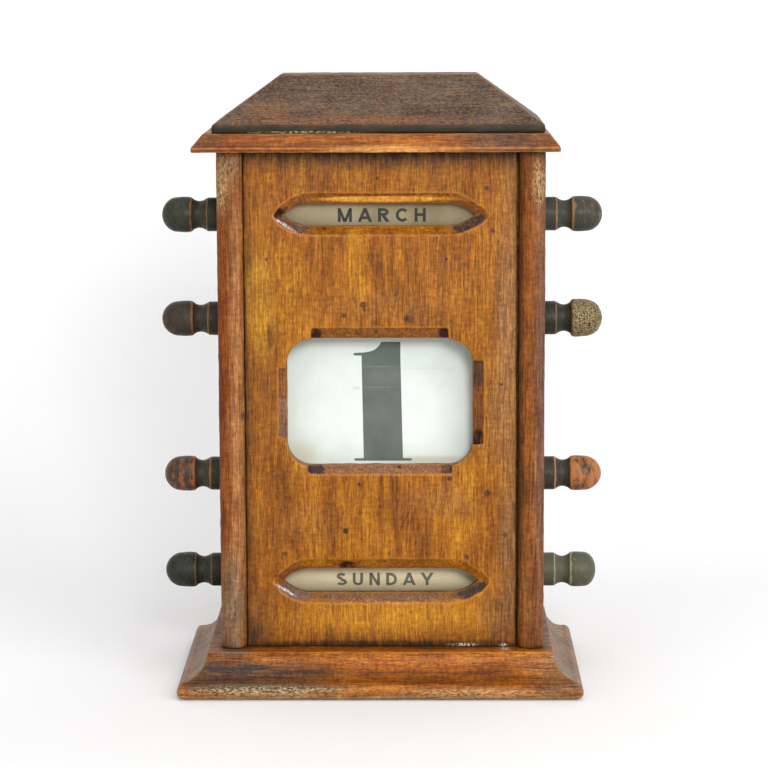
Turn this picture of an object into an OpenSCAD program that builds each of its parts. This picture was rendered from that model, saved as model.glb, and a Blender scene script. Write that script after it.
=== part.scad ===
// Perpetual desk calendar: a small hardwood case with three windows and eight turned knobs.
// Millimetres, +Z up, front towards -Y. The origin is the middle of the base's underside.
// The month and the weekday are on label drums. The date is on a linen scroll wound
// between two rollers, so its upper and lower knobs turn together.

/* [Case] */
// Width across the outer faces of the two sides
case_w = 131.6; // [124:0.1:150]
// Depth from the rounded fronts of the sides to the back
case_d = 72; // [64:0.5:100]
// Height of the sides between plinth and cornice
case_h = 202.7; // [194:0.1:240]
// Thickness of a side board
side_t = 10.5; // [9.5:0.1:13]
// How far the rounded front edge of a side rises from its corners
side_nose = 3; // [1:0.1:4]

/* [Front panel] */
// Thickness of the front panel
panel_t = 7; // [5:0.1:8]
// Depth of the panel's face behind the fronts of the sides
panel_setback = 4; // [3:0.1:6]
// Thickness of the tongue along the panel's two edges
tongue_t = 3.5; // [2:0.1:4.5]
// Depth that the tongues reach into the sides
tongue_d = 2.7; // [1.5:0.1:4]
// Open joint that shrinkage has left along the panel's right edge
shrink_gap = 1; // [0.1:0.1:1.4]
// Clearance of a glued or housed wood joint
joint_gap = 0.1; // [0.05:0.05:0.2]

/* [Back panel] */
// Thickness of the back panel
back_t = 5; // [4:0.5:8]
// Width of the rebate that holds each edge of the back panel
rebate_w = 7; // [6.2:0.1:8.5]

/* [Plinth] */
// Height of the base board
plinth_h = 17.8; // [14:0.1:24]
// How far the plinth's top arris stands out past the case
plinth_top_out = 4.7; // [2:0.1:7]
// Height of the upright fillet below that arris
plinth_fillet = 1.8; // [0.5:0.1:3]
// How far the round nose stands out past the case
plinth_out = 16.3; // [13:0.1:22]
// Radius of the round nose
plinth_nose_r = 3.7; // [2.5:0.1:5]
// Radius of the hollow between fillet and nose
cove_r = 11.5; // [9.5:0.1:20]
// How far the board was fixed off centre, towards the right
plinth_shift = -0.8; // [-1.5:0.1:1.5]

/* [Cornice] */
// Thickness of the cornice board
cornice_h = 7.2; // [5:0.1:10]
// How far its lower edge stands out past the case
cornice_out = 7.45; // [4:0.05:12]
// How far its upper arris stands out past the case
cornice_top_out = 2.85; // [1:0.05:4]
// Height of the upright edge below the bevel
cornice_fillet = 1.75; // [0.5:0.05:3]
// How far the board was fixed off centre, towards the right
cornice_shift = -1.9; // [-2.5:0.1:2.5]

/* [Roof] */
// Height of the upright eave
eave_h = 3.1; // [1:0.1:5]
// Rise of the four slopes
roof_rise = 19.2; // [12:0.1:30]
// Level run of each slope
roof_run = 26.4; // [18:0.1:31]
// How far the eave stands out past the case
roof_out = 0.5; // [0:0.1:2]
// How far the block was fixed off centre, towards the right
roof_shift = -0.9; // [-1.5:0.1:1.5]

/* [Month and day windows] */
// Clear width between the points of the month window
month_slot_w = 76.6; // [60:0.1:84]
// Clear height of the month window
month_slot_h = 8.9; // [7:0.1:9.6]
// Clear width between the points of the day window
day_slot_w = 78.4; // [60:0.1:84]
// Clear height of the day window
day_slot_h = 9.6; // [7:0.1:10.2]
// Radius of the arcs that form their pointed ends
slot_end_r = 14.5; // [8:0.1:20]
// Width of the bevel round them
bevel_w = 3.6; // [1:0.1:4.5]
// Depth of that bevel
bevel_d = 3.5; // [1:0.1:4.5]
// Month window's centre below the top of the case
month_down = 25.4; // [20:0.1:32]
// Day window's centre above the plinth
day_up = 27.9; // [22:0.1:34]

/* [Date window] */
// Clear width of the date window
date_w = 74.5; // [60:0.1:84]
// Clear height of the date window
date_h = 51.5; // [40:0.1:55]
// Radius of its corners
date_r = 9.7; // [4:0.1:16]
// Date window's centre above the middle of the case
date_rise = 0.5; // [-3:0.1:3]
// Width of the stopped chamfers on its four edges
chamfer_w = 3.6; // [1:0.1:4.5]
// Length of the chamfer along the upper edge
chamfer_top = 55; // [30:0.5:58]
// Length of the chamfer along the lower edge
chamfer_bottom = 58; // [30:0.5:60]
// Length of the chamfer along the left edge
chamfer_left = 28; // [14:0.5:36]
// Length of the chamfer along the right edge
chamfer_right = 34; // [14:0.5:36]

/* [Shafts and rollers] */
// Diameter of a shaft, and of a roller's journals
shaft_d = 6.5; // [5:0.1:8]
// Radial clearance of a shaft in the sides
running_gap = 0.08; // [0.02:0.01:0.1]
// Depth of all four axes behind the fronts of the sides
shaft_back = 30; // [27:0.5:33]
// Month axis below its window's centre
month_axis_drop = 2.2; // [0:0.1:4]
// Day axis below its window's centre
day_axis_drop = 1.2; // [0:0.1:4]
// Middle of the two date rollers below the date window's centre
date_axis_drop = 2; // [0:0.1:4]
// Distance between the axes of the two date rollers
roller_pitch = 64.8; // [56:0.1:70]
// Diameter of a roller's core
core_d = 10; // [8:0.1:12]
// Length of a roller's core, and of a drum
roller_len = 100; // [94:0.5:104]

/* [Labels and linen] */
// Gap between the panel's back and the month labels
drum_gap = 1.5; // [1:0.1:3]
// Thickness of the label bands
label_t = 0.3; // [0.2:0.05:0.5]
// Width of the label bands and of the linen
linen_w = 92; // [88:0.5:93]
// Thickness of the linen
linen_t = 0.2; // [0.15:0.01:0.24]
// Length of linen that one date takes
date_pitch = 54; // [52:0.5:57]
// Blank linen before the first date and after the last
leader = 200; // [150:5:260]
// Gap between the taut linen and the rolls that it leaves
sheet_gap = 0.2; // [0.1:0.05:0.4]

/* [Knobs] */
// Diameter of a knob's head
head_d = 14.2; // [11:0.1:18]
// Length of the head's straight part
head_len = 6.9; // [3:0.1:10]
// Length of the domed end
dome_len = 5.9; // [4:0.1:6.8]
// Diameter of the neck at its narrowest
neck_d = 11; // [9.4:0.1:11.8]
// Length of the hollow neck
neck_len = 6.3; // [5:0.1:9]
// Diameter of the collar against the case
collar_d = 13.8; // [12.2:0.1:16]
// Length of the collar
collar_len = 5.3; // [3:0.1:8]
// Play between a collar and the case
end_play = 0.3; // [0.1:0.05:0.6]
// Length of shaft glued into a knob
shaft_in_knob = 9; // [6:0.5:12]

/* [Screws] */
// Shank diameter of the wood screws
screw_d = 3; // [2:0.1:3.4]
// Head diameter of the wood screws
screw_head_d = 5.6; // [4.4:0.1:6]
// Length of the screws in the back panel
back_screw_len = 16; // [10:1:20]
// Length of the screws up through the base
base_screw_len = 32; // [24:1:36]
// Length of the screws down through the cornice
cornice_screw_len = 22; // [12:1:24]
// Length of the screws up into the roof
roof_screw_len = 18; // [12:1:22]
// Distance of the back's end screws from the ends of the case
back_screw_inset = 22; // [18:0.5:30]
// Distance of the screws in the ends of the sides from the case's front and back
side_screw_inset = 22; // [20:0.5:26]
// Distance of the roof's screws from the middle
roof_screw_x = 25; // [15:1:35]

/* [Hidden] */
$fn = 96;

MONTHS = 12;
WEEKDAYS = 7;
DATES = 31;
REACH = 600;      // longer than any cut has to be
THROUGH = 1;      // how far a cutter passes the face that it opens
GLUE_GAP = 0.05;  // radial room of a glued joint
SCREW_GAP = 0.05; // room round a screw in its hole
SCREW_SINK = 0.4; // depth of a screw head below the wood
SLOT_CUT = 0.8;   // width and depth of a screwdriver slot

front_y = -case_d / 2;
back_y = case_d / 2;
inner_w = case_w - 2 * side_t;
case_top = plinth_h + case_h;
roof_base = case_top + cornice_h;

// Front panel: its face, its tongue and its back, counted along +Y
panel_y = front_y + panel_setback;
panel_back_y = panel_y + panel_t;
tongue_y = panel_back_y - tongue_t;

// Centres of the windows
month_z = case_top - month_down;
day_z = plinth_h + day_up;
date_z = plinth_h + case_h / 2 + date_rise;

// Axes of the shafts
axis_y = front_y + shaft_back;
month_axis_z = month_z - month_axis_drop;
day_axis_z = day_z - day_axis_drop;
upper_axis_z = date_z - date_axis_drop + roller_pitch / 2;
lower_axis_z = date_z - date_axis_drop - roller_pitch / 2;
AXES_Z = [month_axis_z, upper_axis_z, lower_axis_z, day_axis_z];

// Both drums carry labels of one height, so their radii are as 12 to 7
month_r = axis_y - panel_back_y - drum_gap;
day_r = month_r * WEEKDAYS / MONTHS;

// Radius of a roll that holds a length of linen
function wound_r(length) = sqrt(pow(core_d / 2, 2) + length * linen_t / PI);
upper_r = wound_r(leader);
lower_r = wound_r(leader + (DATES - 1) * date_pitch);

shaft_len = case_w + 2 * (end_play + shaft_in_knob);

// Screw places on the front or the plan
side_mid_x = case_w / 2 - side_t / 2;
back_screw_x = inner_w / 2 + rebate_w / 2;
back_screw_z = [plinth_h + back_screw_inset, plinth_h + case_h / 2, case_top - back_screw_inset];
side_screw_y = [front_y + side_screw_inset, back_y - side_screw_inset];

// A flat outline in the plane of Y and Z, drawn out along X and centred
module along_x(length) {
    translate([-length / 2, 0, 0]) rotate([90, 0, 90]) linear_extrude(length) children();
}

// A flat outline in the plane of X and Z, drawn out along Y and centred
module along_y(length) {
    translate([0, length / 2, 0]) rotate([90, 0, 0]) linear_extrude(length) children();
}

// A board whose moulding runs round all four edges and is mitred at the corners:
// the first outline is the front view, the second the side view
module mitred() {
    intersection() {
        along_y(REACH) children(0);
        along_x(REACH) children(1);
    }
}

// A rod or a bore along X
module rod_x(radius, length) {
    rotate([0, 90, 0]) cylinder(r = radius, h = length, center = true);
}

// Everything that follows is drawn for the right-hand side and mirrored for the left
module on_left() {
    mirror([1, 0, 0]) children();
}

// ---- Case ----

// Where the centre of the hollow lies, so that its arc joins the fillet to the nose
module plinth_section(half) {
    nose_x = plinth_out - plinth_nose_r;
    fillet_z = plinth_h - plinth_fillet;
    chord = [nose_x - plinth_top_out, 2 * plinth_nose_r - fillet_z];
    middle = [plinth_top_out, fillet_z] + chord / 2;
    away = sqrt(pow(cove_r, 2) - pow(norm(chord) / 2, 2)) / norm(chord);
    centre = middle + away * [-chord[1], chord[0]];

    translate([-half - plinth_top_out, 0]) square([2 * (half + plinth_top_out), plinth_h]);
    difference() {
        translate([-half - nose_x, 0]) square([2 * (half + nose_x), fillet_z]);
        for (side = [-1, 1]) translate([side * (half + centre[0]), centre[1]]) circle(cove_r);
    }
    for (side = [-1, 1]) translate([side * (half + nose_x), plinth_nose_r]) circle(plinth_nose_r);
}

module cornice_section(half) {
    low = half + cornice_out;
    top = half + cornice_top_out;
    polygon([[-low, 0], [low, 0], [low, cornice_fillet], [top, cornice_h],
        [-top, cornice_h], [-low, cornice_fillet]]);
}

module roof_section(half) {
    eave = half + roof_out;
    flat = eave - roof_run;
    polygon([[-eave, 0], [eave, 0], [eave, eave_h], [flat, eave_h + roof_rise],
        [-flat, eave_h + roof_rise], [-eave, eave_h]]);
}

module base_plinth() {
    color("#9a5a26") difference() {
        translate([plinth_shift, 0, 0]) mitred() {
            plinth_section(case_w / 2);
            plinth_section(case_d / 2);
        }
        base_screw_set(SCREW_GAP);
    }
}

// Plan of the right-hand side: rounded front, groove for the panel, rebate for the back
module side_plan() {
    round_r = (pow(side_t / 2, 2) + pow(side_nose, 2)) / (2 * side_nose);
    inner_x = inner_w / 2;
    difference() {
        union() {
            translate([inner_x, front_y + side_nose]) square([side_t, case_d - side_nose]);
            intersection() {
                translate([side_mid_x, front_y + round_r]) circle(round_r);
                translate([inner_x, front_y]) square([side_t, 2 * side_nose]);
            }
        }
        translate([inner_x - THROUGH, tongue_y - joint_gap])
            square([THROUGH + tongue_d + joint_gap, tongue_t + 2 * joint_gap]);
        translate([inner_x - THROUGH, back_y - back_t]) square([THROUGH + rebate_w, back_t + THROUGH]);
    }
}

module side_right() {
    color("#8a4a20") difference() {
        translate([0, 0, plinth_h]) linear_extrude(case_h) side_plan();
        for (z = AXES_Z) translate([side_mid_x, axis_y, z])
            rod_x(shaft_d / 2 + running_gap, side_t + 2 * THROUGH);
        base_screw_set(SCREW_GAP);
        cornice_screw_set(SCREW_GAP);
        back_screw_set(SCREW_GAP);
    }
}

module side_left() {
    on_left() side_right();
}

// Half of a slot's pointed outline: a bar with round ends that narrows from the face inwards
module narrowing_bar(straight, face_r, back_r, depth) {
    for (end = [-1, 1]) translate([end * straight / 2, 0, 0]) rotate([-90, 0, 0])
        cylinder(r1 = face_r, r2 = back_r, h = depth);
    along_x(straight) polygon([[0, -face_r], [0, face_r], [depth, back_r], [depth, -back_r]]);
}

// Where two such bars cross, their ends meet in a point, as a lancet window does
module lancet(width, height, face_r, back_r, depth) {
    drop = slot_end_r - height / 2;
    straight = width - 2 * sqrt(pow(slot_end_r, 2) - pow(drop, 2));
    intersection() {
        translate([0, 0, -drop]) narrowing_bar(straight, face_r, back_r, depth);
        translate([0, 0, drop]) narrowing_bar(straight, face_r, back_r, depth);
    }
}

module slot_cut(width, height) {
    face_r = slot_end_r + bevel_w * (1 + THROUGH / bevel_d);
    translate([0, -THROUGH, 0]) lancet(width, height, face_r, slot_end_r, bevel_d + THROUGH);
    lancet(width, height, slot_end_r, slot_end_r, panel_t + THROUGH);
}

module date_opening() {
    depth = panel_t + 2 * THROUGH;
    corner_x = date_w / 2 - date_r;
    corner_z = date_h / 2 - date_r;
    translate([0, -THROUGH, 0]) {
        translate([-date_w / 2, 0, -corner_z]) cube([date_w, depth, 2 * corner_z]);
        translate([-corner_x, 0, -date_h / 2]) cube([2 * corner_x, depth, date_h]);
        for (x = [-1, 1], z = [-1, 1]) translate([x * corner_x, 0, z * corner_z])
            rotate([-90, 0, 0]) cylinder(r = date_r, h = depth);
    }
}

// A chamfer along the upper edge of an opening, stopped square at both ends
module stopped_chamfer(edge, length) {
    translate([0, 0, edge]) along_x(length) polygon([[-THROUGH, -THROUGH],
        [-THROUGH, chamfer_w + THROUGH], [chamfer_w, 0], [chamfer_w, -THROUGH]]);
}

module date_cut() {
    date_opening();
    stopped_chamfer(date_h / 2, chamfer_top);
    rotate([0, 180, 0]) stopped_chamfer(date_h / 2, chamfer_bottom);
    rotate([0, -90, 0]) stopped_chamfer(date_w / 2, chamfer_left);
    rotate([0, 90, 0]) stopped_chamfer(date_w / 2, chamfer_right);
}

module front_panel() {
    half = inner_w / 2;
    color("#a6682b") difference() {
        translate([0, 0, plinth_h]) linear_extrude(case_h) {
            translate([-half + joint_gap, panel_y])
                square([inner_w - joint_gap - shrink_gap, panel_t]);
            translate([-half - tongue_d, tongue_y]) square([inner_w + 2 * tongue_d, tongue_t]);
        }
        translate([0, panel_y, month_z]) slot_cut(month_slot_w, month_slot_h);
        translate([0, panel_y, day_z]) slot_cut(day_slot_w, day_slot_h);
        translate([0, panel_y, date_z]) date_cut();
    }
}

module back_panel() {
    half = inner_w / 2 + rebate_w - joint_gap;
    color("#8c5b2e") difference() {
        translate([-half, back_y - back_t, plinth_h + joint_gap])
            cube([2 * half, back_t, case_h - 2 * joint_gap]);
        back_screw_set(SCREW_GAP);
    }
}

module cornice_board() {
    color("#a8612a") difference() {
        translate([cornice_shift, 0, case_top]) mitred() {
            cornice_section(case_w / 2);
            cornice_section(case_d / 2);
        }
        cornice_screw_set(SCREW_GAP);
        roof_screw_set(SCREW_GAP);
    }
}

module roof_block() {
    color("#6f4a33") difference() {
        translate([roof_shift, 0, roof_base]) mitred() {
            roof_section(case_w / 2);
            roof_section(case_d / 2);
        }
        roof_screw_set(SCREW_GAP);
    }
}

// ---- Screws ----

// A countersunk wood screw along +Z with its head's face at z = 0. With a gap it is the hole
// for that screw, open above the head.
module wood_screw(length, gap = 0) {
    head_r = screw_head_d / 2 + gap;
    shank_r = screw_d / 2 + gap;
    cone_h = (screw_head_d - screw_d) / 2;
    difference() {
        union() {
            cylinder(r1 = head_r, r2 = shank_r, h = cone_h);
            cylinder(r = shank_r, h = length + gap);
            if (gap > 0) translate([0, 0, -THROUGH]) cylinder(r = head_r, h = THROUGH + gap);
        }
        if (gap == 0) translate([-screw_head_d, -SLOT_CUT / 2, -SLOT_CUT])
            cube([2 * screw_head_d, SLOT_CUT, 2 * SLOT_CUT]);
    }
}

module back_screw_set(gap) {
    for (x = [-1, 1], z = back_screw_z) translate([x * back_screw_x, back_y - SCREW_SINK, z])
        rotate([90, 0, 0]) wood_screw(back_screw_len, gap);
}

module base_screw_set(gap) {
    for (x = [-1, 1], y = side_screw_y) translate([x * side_mid_x, y, SCREW_SINK])
        wood_screw(base_screw_len, gap);
}

module cornice_screw_set(gap) {
    for (x = [-1, 1], y = side_screw_y) translate([x * side_mid_x, y, roof_base - SCREW_SINK])
        rotate([180, 0, 0]) wood_screw(cornice_screw_len, gap);
}

module roof_screw_set(gap) {
    for (x = [-1, 1]) translate([x * roof_screw_x, 0, case_top + SCREW_SINK])
        wood_screw(roof_screw_len, gap);
}

module back_screws() {
    color("#8f7a45") back_screw_set(0);
}

module base_screws() {
    color("#6b6964") base_screw_set(0);
}

module cornice_screws() {
    color("#6b6964") cornice_screw_set(0);
}

module roof_screws() {
    color("#6b6964") roof_screw_set(0);
}

// ---- Drums ----

module shaft_at(z) {
    color("#7d6248") translate([0, axis_y, z]) rod_x(shaft_d / 2, shaft_len);
}

// A drum bored for its shaft, turned down by the thickness of the labels
module drum_at(z, radius) {
    color("#b08b5c") translate([0, axis_y, z]) difference() {
        rod_x(radius - label_t, roller_len);
        rod_x(shaft_d / 2 + GLUE_GAP, roller_len + 2 * THROUGH);
    }
}

// The band of labels round a drum
module labels_at(z, radius) {
    color("#b3a07c") translate([0, axis_y, z]) difference() {
        rod_x(radius, linen_w);
        rod_x(radius - label_t + GLUE_GAP, linen_w + 2 * THROUGH);
    }
}

module month_shaft() {
    shaft_at(month_axis_z);
}

module month_drum() {
    drum_at(month_axis_z, month_r);
}

module month_labels() {
    labels_at(month_axis_z, month_r);
}

module day_shaft() {
    shaft_at(day_axis_z);
}

module day_drum() {
    drum_at(day_axis_z, day_r);
}

module day_labels() {
    labels_at(day_axis_z, day_r);
}

// ---- Linen scroll ----

// A roller turned in one piece: a core between two journals that reach into the knobs
module roller_at(z) {
    color("#b08b5c") translate([0, axis_y, z]) {
        rod_x(core_d / 2, roller_len);
        rod_x(shaft_d / 2, shaft_len);
    }
}

// The linen wound on a roller
module roll_at(z, radius) {
    color("#e9e6da") translate([0, axis_y, z]) difference() {
        rod_x(radius, linen_w);
        rod_x(core_d / 2 + GLUE_GAP, linen_w + 2 * THROUGH);
    }
}

module date_upper_roller() {
    roller_at(upper_axis_z);
}

module date_lower_roller() {
    roller_at(lower_axis_z);
}

module date_roll_upper() {
    roll_at(upper_axis_z, upper_r);
}

module date_roll_lower() {
    roll_at(lower_axis_z, lower_r);
}

// Outline round both rolls at a distance, as a belt would lie, with its taut front
module belt(distance) {
    tilt = asin((lower_r - upper_r) / roller_pitch);
    front = [-cos(tilt), sin(tilt)];
    upper = [axis_y, upper_axis_z];
    lower = [axis_y, lower_axis_z];
    translate(upper) circle(upper_r + distance);
    translate(lower) circle(lower_r + distance);
    polygon([upper, upper + (upper_r + distance) * front,
        lower + (lower_r + distance) * front, lower]);
}

// The taut linen in front of the rolls, with a short stretch that follows each of them
module date_sheet() {
    over = 50;
    reach = 3 * lower_r;
    color("#ecebe2") along_x(linen_w) intersection() {
        difference() {
            belt(sheet_gap + linen_t);
            belt(sheet_gap);
        }
        polygon([[axis_y, lower_axis_z], [axis_y, upper_axis_z],
            [axis_y - reach * cos(over), upper_axis_z + reach * sin(over)],
            [axis_y - reach, upper_axis_z], [axis_y - reach, lower_axis_z],
            [axis_y - reach * cos(over), lower_axis_z - reach * sin(over)]]);
    }
}

// ---- Knobs ----

// Half outline of a knob, with its length from the case up the Y axis
module knob_outline() {
    neck_z = collar_len;
    head_z = neck_z + neck_len;
    dome_z = head_z + head_len;
    dome_r = (pow(head_d / 2, 2) + pow(dome_len, 2)) / (2 * dome_len);
    edge_r = min(head_d, collar_d) / 2;
    hollow = edge_r - neck_d / 2;
    hollow_r = (pow(neck_len / 2, 2) + pow(hollow, 2)) / (2 * hollow);

    square([collar_d / 2, collar_len]);
    difference() {
        translate([0, neck_z]) square([edge_r, neck_len]);
        translate([neck_d / 2 + hollow_r, neck_z + neck_len / 2]) circle(hollow_r);
    }
    translate([0, head_z]) square([head_d / 2, head_len]);
    intersection() {
        translate([0, dome_z + dome_len - dome_r]) circle(dome_r);
        translate([0, dome_z]) square([head_d, dome_len]);
    }
}

// A right-hand knob, with the blind socket for its shaft
module knob_at(z) {
    color("#33302a") translate([case_w / 2 + end_play, axis_y, z]) rotate([0, 90, 0]) difference() {
        rotate_extrude() knob_outline();
        translate([0, 0, -THROUGH])
            cylinder(r = shaft_d / 2 + GLUE_GAP, h = shaft_in_knob + THROUGH + GLUE_GAP);
    }
}

module month_knob_right() {
    knob_at(month_axis_z);
}

module month_knob_left() {
    on_left() knob_at(month_axis_z);
}

module date_upper_knob_right() {
    knob_at(upper_axis_z);
}

module date_upper_knob_left() {
    on_left() knob_at(upper_axis_z);
}

module date_lower_knob_right() {
    knob_at(lower_axis_z);
}

module date_lower_knob_left() {
    on_left() knob_at(lower_axis_z);
}

module day_knob_right() {
    knob_at(day_axis_z);
}

module day_knob_left() {
    on_left() knob_at(day_axis_z);
}

base_plinth();
side_left();
side_right();
front_panel();
back_panel();
cornice_board();
roof_block();
month_shaft();
month_drum();
month_labels();
month_knob_left();
month_knob_right();
day_shaft();
day_drum();
day_labels();
day_knob_left();
day_knob_right();
date_upper_roller();
date_roll_upper();
date_upper_knob_left();
date_upper_knob_right();
date_lower_roller();
date_roll_lower();
date_lower_knob_left();
date_lower_knob_right();
date_sheet();
back_screws();
base_screws();
cornice_screws();
roof_screws();
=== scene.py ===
# %% [markdown]
# # A perpetual desk calendar in worn, stained beech
#
# The object is a little wooden case with three windows. Eight turned knobs stick out of its
# sides. The top pair turns a drum of month labels, the bottom pair a drum of weekday labels,
# and the two pairs between wind a linen scroll of dates past the large window.
#
# The construction is already settled: it comes in as the frame, in metres, with the front
# towards -Y. What is left is what the eye reads as age: softened edges, rubbed finish, uneven
# stain, grain, printed cloth and paper.

# %% Load the frame
import math

import bmesh
import bpy
import numpy as np
from mathutils import Matrix, Vector, bvhtree, kdtree, noise


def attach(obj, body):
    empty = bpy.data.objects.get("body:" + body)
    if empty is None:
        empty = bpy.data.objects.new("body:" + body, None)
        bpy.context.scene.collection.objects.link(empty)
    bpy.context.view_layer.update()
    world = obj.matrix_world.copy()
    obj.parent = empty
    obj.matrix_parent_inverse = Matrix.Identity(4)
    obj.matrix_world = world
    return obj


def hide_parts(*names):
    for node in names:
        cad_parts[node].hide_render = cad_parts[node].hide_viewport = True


MM = 0.001
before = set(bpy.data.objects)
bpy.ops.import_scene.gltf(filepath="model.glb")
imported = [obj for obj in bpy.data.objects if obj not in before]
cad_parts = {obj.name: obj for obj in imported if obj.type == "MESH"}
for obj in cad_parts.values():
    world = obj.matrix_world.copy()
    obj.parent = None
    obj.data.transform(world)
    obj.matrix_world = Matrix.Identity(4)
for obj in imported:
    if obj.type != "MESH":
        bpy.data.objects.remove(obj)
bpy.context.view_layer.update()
scene = bpy.context.scene

# %% [markdown]
# ## The camera
#
# A product photograph like this one is taken from about a metre away with a long lens, so the
# upright lines stay nearly parallel. The camera stands a little above the roof and looks down
# by eight or nine degrees, a hair to the right of the middle. Its place was worked out from
# the known sizes of the case and where their corners appear.

# %% Camera
CAMERA_AT = Vector((13.9, -1136.9, 294.2)) * MM
LOOK_DOWN = math.radians(8.63)
LOOK_LEFT = math.radians(0.67)
CAMERA_ROLL = math.radians(-0.19)
LENS_MM = 129.87
SENSOR_MM = 36

camera = bpy.data.objects.new("camera", bpy.data.cameras.new("camera"))
camera.data.lens = LENS_MM
camera.data.sensor_width = SENSOR_MM
camera.data.clip_start = 0.05
facing = (Matrix.Rotation(LOOK_LEFT, 4, "Z") @ Matrix.Rotation(math.pi / 2 - LOOK_DOWN, 4, "X")
          @ Matrix.Rotation(CAMERA_ROLL, 4, "Z"))
camera.matrix_world = Matrix.Translation(CAMERA_AT) @ facing
scene.collection.objects.link(camera)
scene.camera = camera
print(f"camera at {tuple(round(v, 3) for v in CAMERA_AT)} m, {LENS_MM} mm lens")

# %% [markdown]
# ## Small helpers for colour and shader nodes
#
# Colours are chosen on a screen, so they are written as hex values, as a paint chart
# would give them. Blender mixes light in linear values, and one function turns the one into
# the other. A second one adds a shader node, sets it up and plugs it in, in one line.

# %% Colour and node helpers
def paint(hex_value, alpha=1.0):
    """A screen colour such as "a5641f" as Blender's linear red, green, blue and alpha."""
    shares = [int(hex_value[i:i + 2], 16) / 255 for i in (0, 2, 4)]
    linear = [s / 12.92 if s <= 0.04045 else ((s + 0.055) / 1.055) ** 2.4 for s in shares]
    return (*linear, alpha)


def add(tree, kind, inputs=None, stops=(), **settings):
    """A new node of that kind. An input is a value, a screen colour, or an output to link.

    stops are the (place, colour) pairs of a colour ramp. A number stands for a grey.
    """
    node = tree.nodes.new("ShaderNode" + kind)
    for key, value in settings.items():
        setattr(node, key, value)
    for key, value in (inputs or {}).items():
        if isinstance(value, bpy.types.NodeSocket):
            tree.links.new(value, node.inputs[key])
        else:
            node.inputs[key].default_value = paint(value) if isinstance(value, str) else value
    if stops:
        elements = node.color_ramp.elements
        while len(elements) < len(stops):
            elements.new(0.5)
        for element, (place, colour) in zip(elements, stops):
            element.position = place
            element.color = paint(colour) if isinstance(colour, str) else (colour,) * 3 + (1,)
    return node


def blank_material(name):
    """A material with an empty node tree but for its Principled surface and its output."""
    material = bpy.data.materials.new(name)
    material.use_nodes = True
    tree = material.node_tree
    tree.nodes.clear()
    surface = add(tree, "BsdfPrincipled")
    add(tree, "OutputMaterial", {"Surface": surface.outputs["BSDF"]})
    return material, tree, surface


print("helpers ready; mid stain in linear light:", [round(c, 3) for c in paint("a5641f")])

# %% [markdown]
# ## Stage and light
#
# The calendar stands on seamless white paper that curves up behind it. The paper is a real
# surface that catches the shadow. For the camera alone it gets some light of its own, so that
# it reads as paper white wherever no shadow lies, and the lamps can stay at a level where the
# wood keeps its colour. Seen from behind, the paper is clear, so the back can be looked at too.
#
# The shadow falls back and to the left, so the main soft light stands in front, high and a
# little to the right. A broad light overhead lifts the roof and darkens what looks down.

# %% Stage and lamps
PAPER_GLOW = 0.08      # the paper's own light, for the camera only
PAPER_TONE = 0.78
SKY_LIGHT = 0.32       # how strongly the white room lights the object
SWEEP_START = 0.16     # metres behind the middle of the calendar where the paper curves up
SWEEP_RADIUS = 0.30
LAMPS = {              # place in metres, square size in metres, watts
    "key_right": ((1.05, -1.25, 0.85), 1.1, 13),
    "key_front": ((0.26, -1.60, 0.66), 0.36, 15),
    "fill_left": ((-1.2, -1.2, 0.7), 1.2, 4),
    "overhead": ((0.0, -0.5, 1.6), 1.2, 9),
}
LAMP_AIM = Vector((0, 0, 0.12))


def seen_directly(tree):
    """1 for rays from the camera and for what glossy or clear surfaces show, else 0."""
    rays = add(tree, "LightPath")
    either = add(tree, "Math", {0: rays.outputs["Is Camera Ray"],
                                1: rays.outputs["Is Glossy Ray"]}, operation="MAXIMUM")
    return add(tree, "Math", {0: either.outputs[0], 1: rays.outputs["Is Transmission Ray"]},
               operation="MAXIMUM").outputs[0]


paper_material, tree, surface = blank_material("studio_paper")
surface.inputs["Base Color"].default_value = (PAPER_TONE,) * 3 + (1,)
surface.inputs["Roughness"].default_value = 1
surface.inputs["Specular IOR Level"].default_value = 0
glow = add(tree, "Math", {0: seen_directly(tree), 1: PAPER_GLOW}, operation="MULTIPLY")
tree.links.new(glow.outputs[0], surface.inputs["Emission Strength"])
surface.inputs["Emission Color"].default_value = (1, 1, 1, 1)
one_sided = add(tree, "MixShader", {0: add(tree, "NewGeometry").outputs["Backfacing"],
                                    1: surface.outputs[0],
                                    2: add(tree, "BsdfTransparent").outputs[0]})
tree.links.new(one_sided.outputs[0], tree.nodes["Material Output"].inputs["Surface"])

profile = [(-6.0, 0.0), (SWEEP_START, 0.0)]
for step in range(1, 25):
    turn = math.radians(90 * step / 24)
    profile.append((SWEEP_START + SWEEP_RADIUS * math.sin(turn),
                    SWEEP_RADIUS * (1 - math.cos(turn))))
profile.append((SWEEP_START + SWEEP_RADIUS, 4.0))
paper_mesh = bpy.data.meshes.new("studio_paper")
paper_mesh.from_pydata([(x, y, z) for y, z in profile for x in (-5.0, 5.0)], [],
                       [(2 * i, 2 * i + 1, 2 * i + 3, 2 * i + 2)
                        for i in range(len(profile) - 1)])
paper_mesh.shade_smooth()
paper_mesh.materials.append(paper_material)
paper = bpy.data.objects.new("studio_paper", paper_mesh)
scene.collection.objects.link(paper)

world = bpy.data.worlds.new("white_room")
scene.world = world
world.use_nodes = True
sky = world.node_tree
sky.nodes.clear()
strength = add(sky, "MapRange", {"Value": seen_directly(sky), "To Min": SKY_LIGHT, "To Max": 1})
background = add(sky, "Background", {"Color": (1, 1, 1, 1), "Strength": strength.outputs[0]})
add(sky, "OutputWorld", {"Surface": background.outputs[0]})

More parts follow.
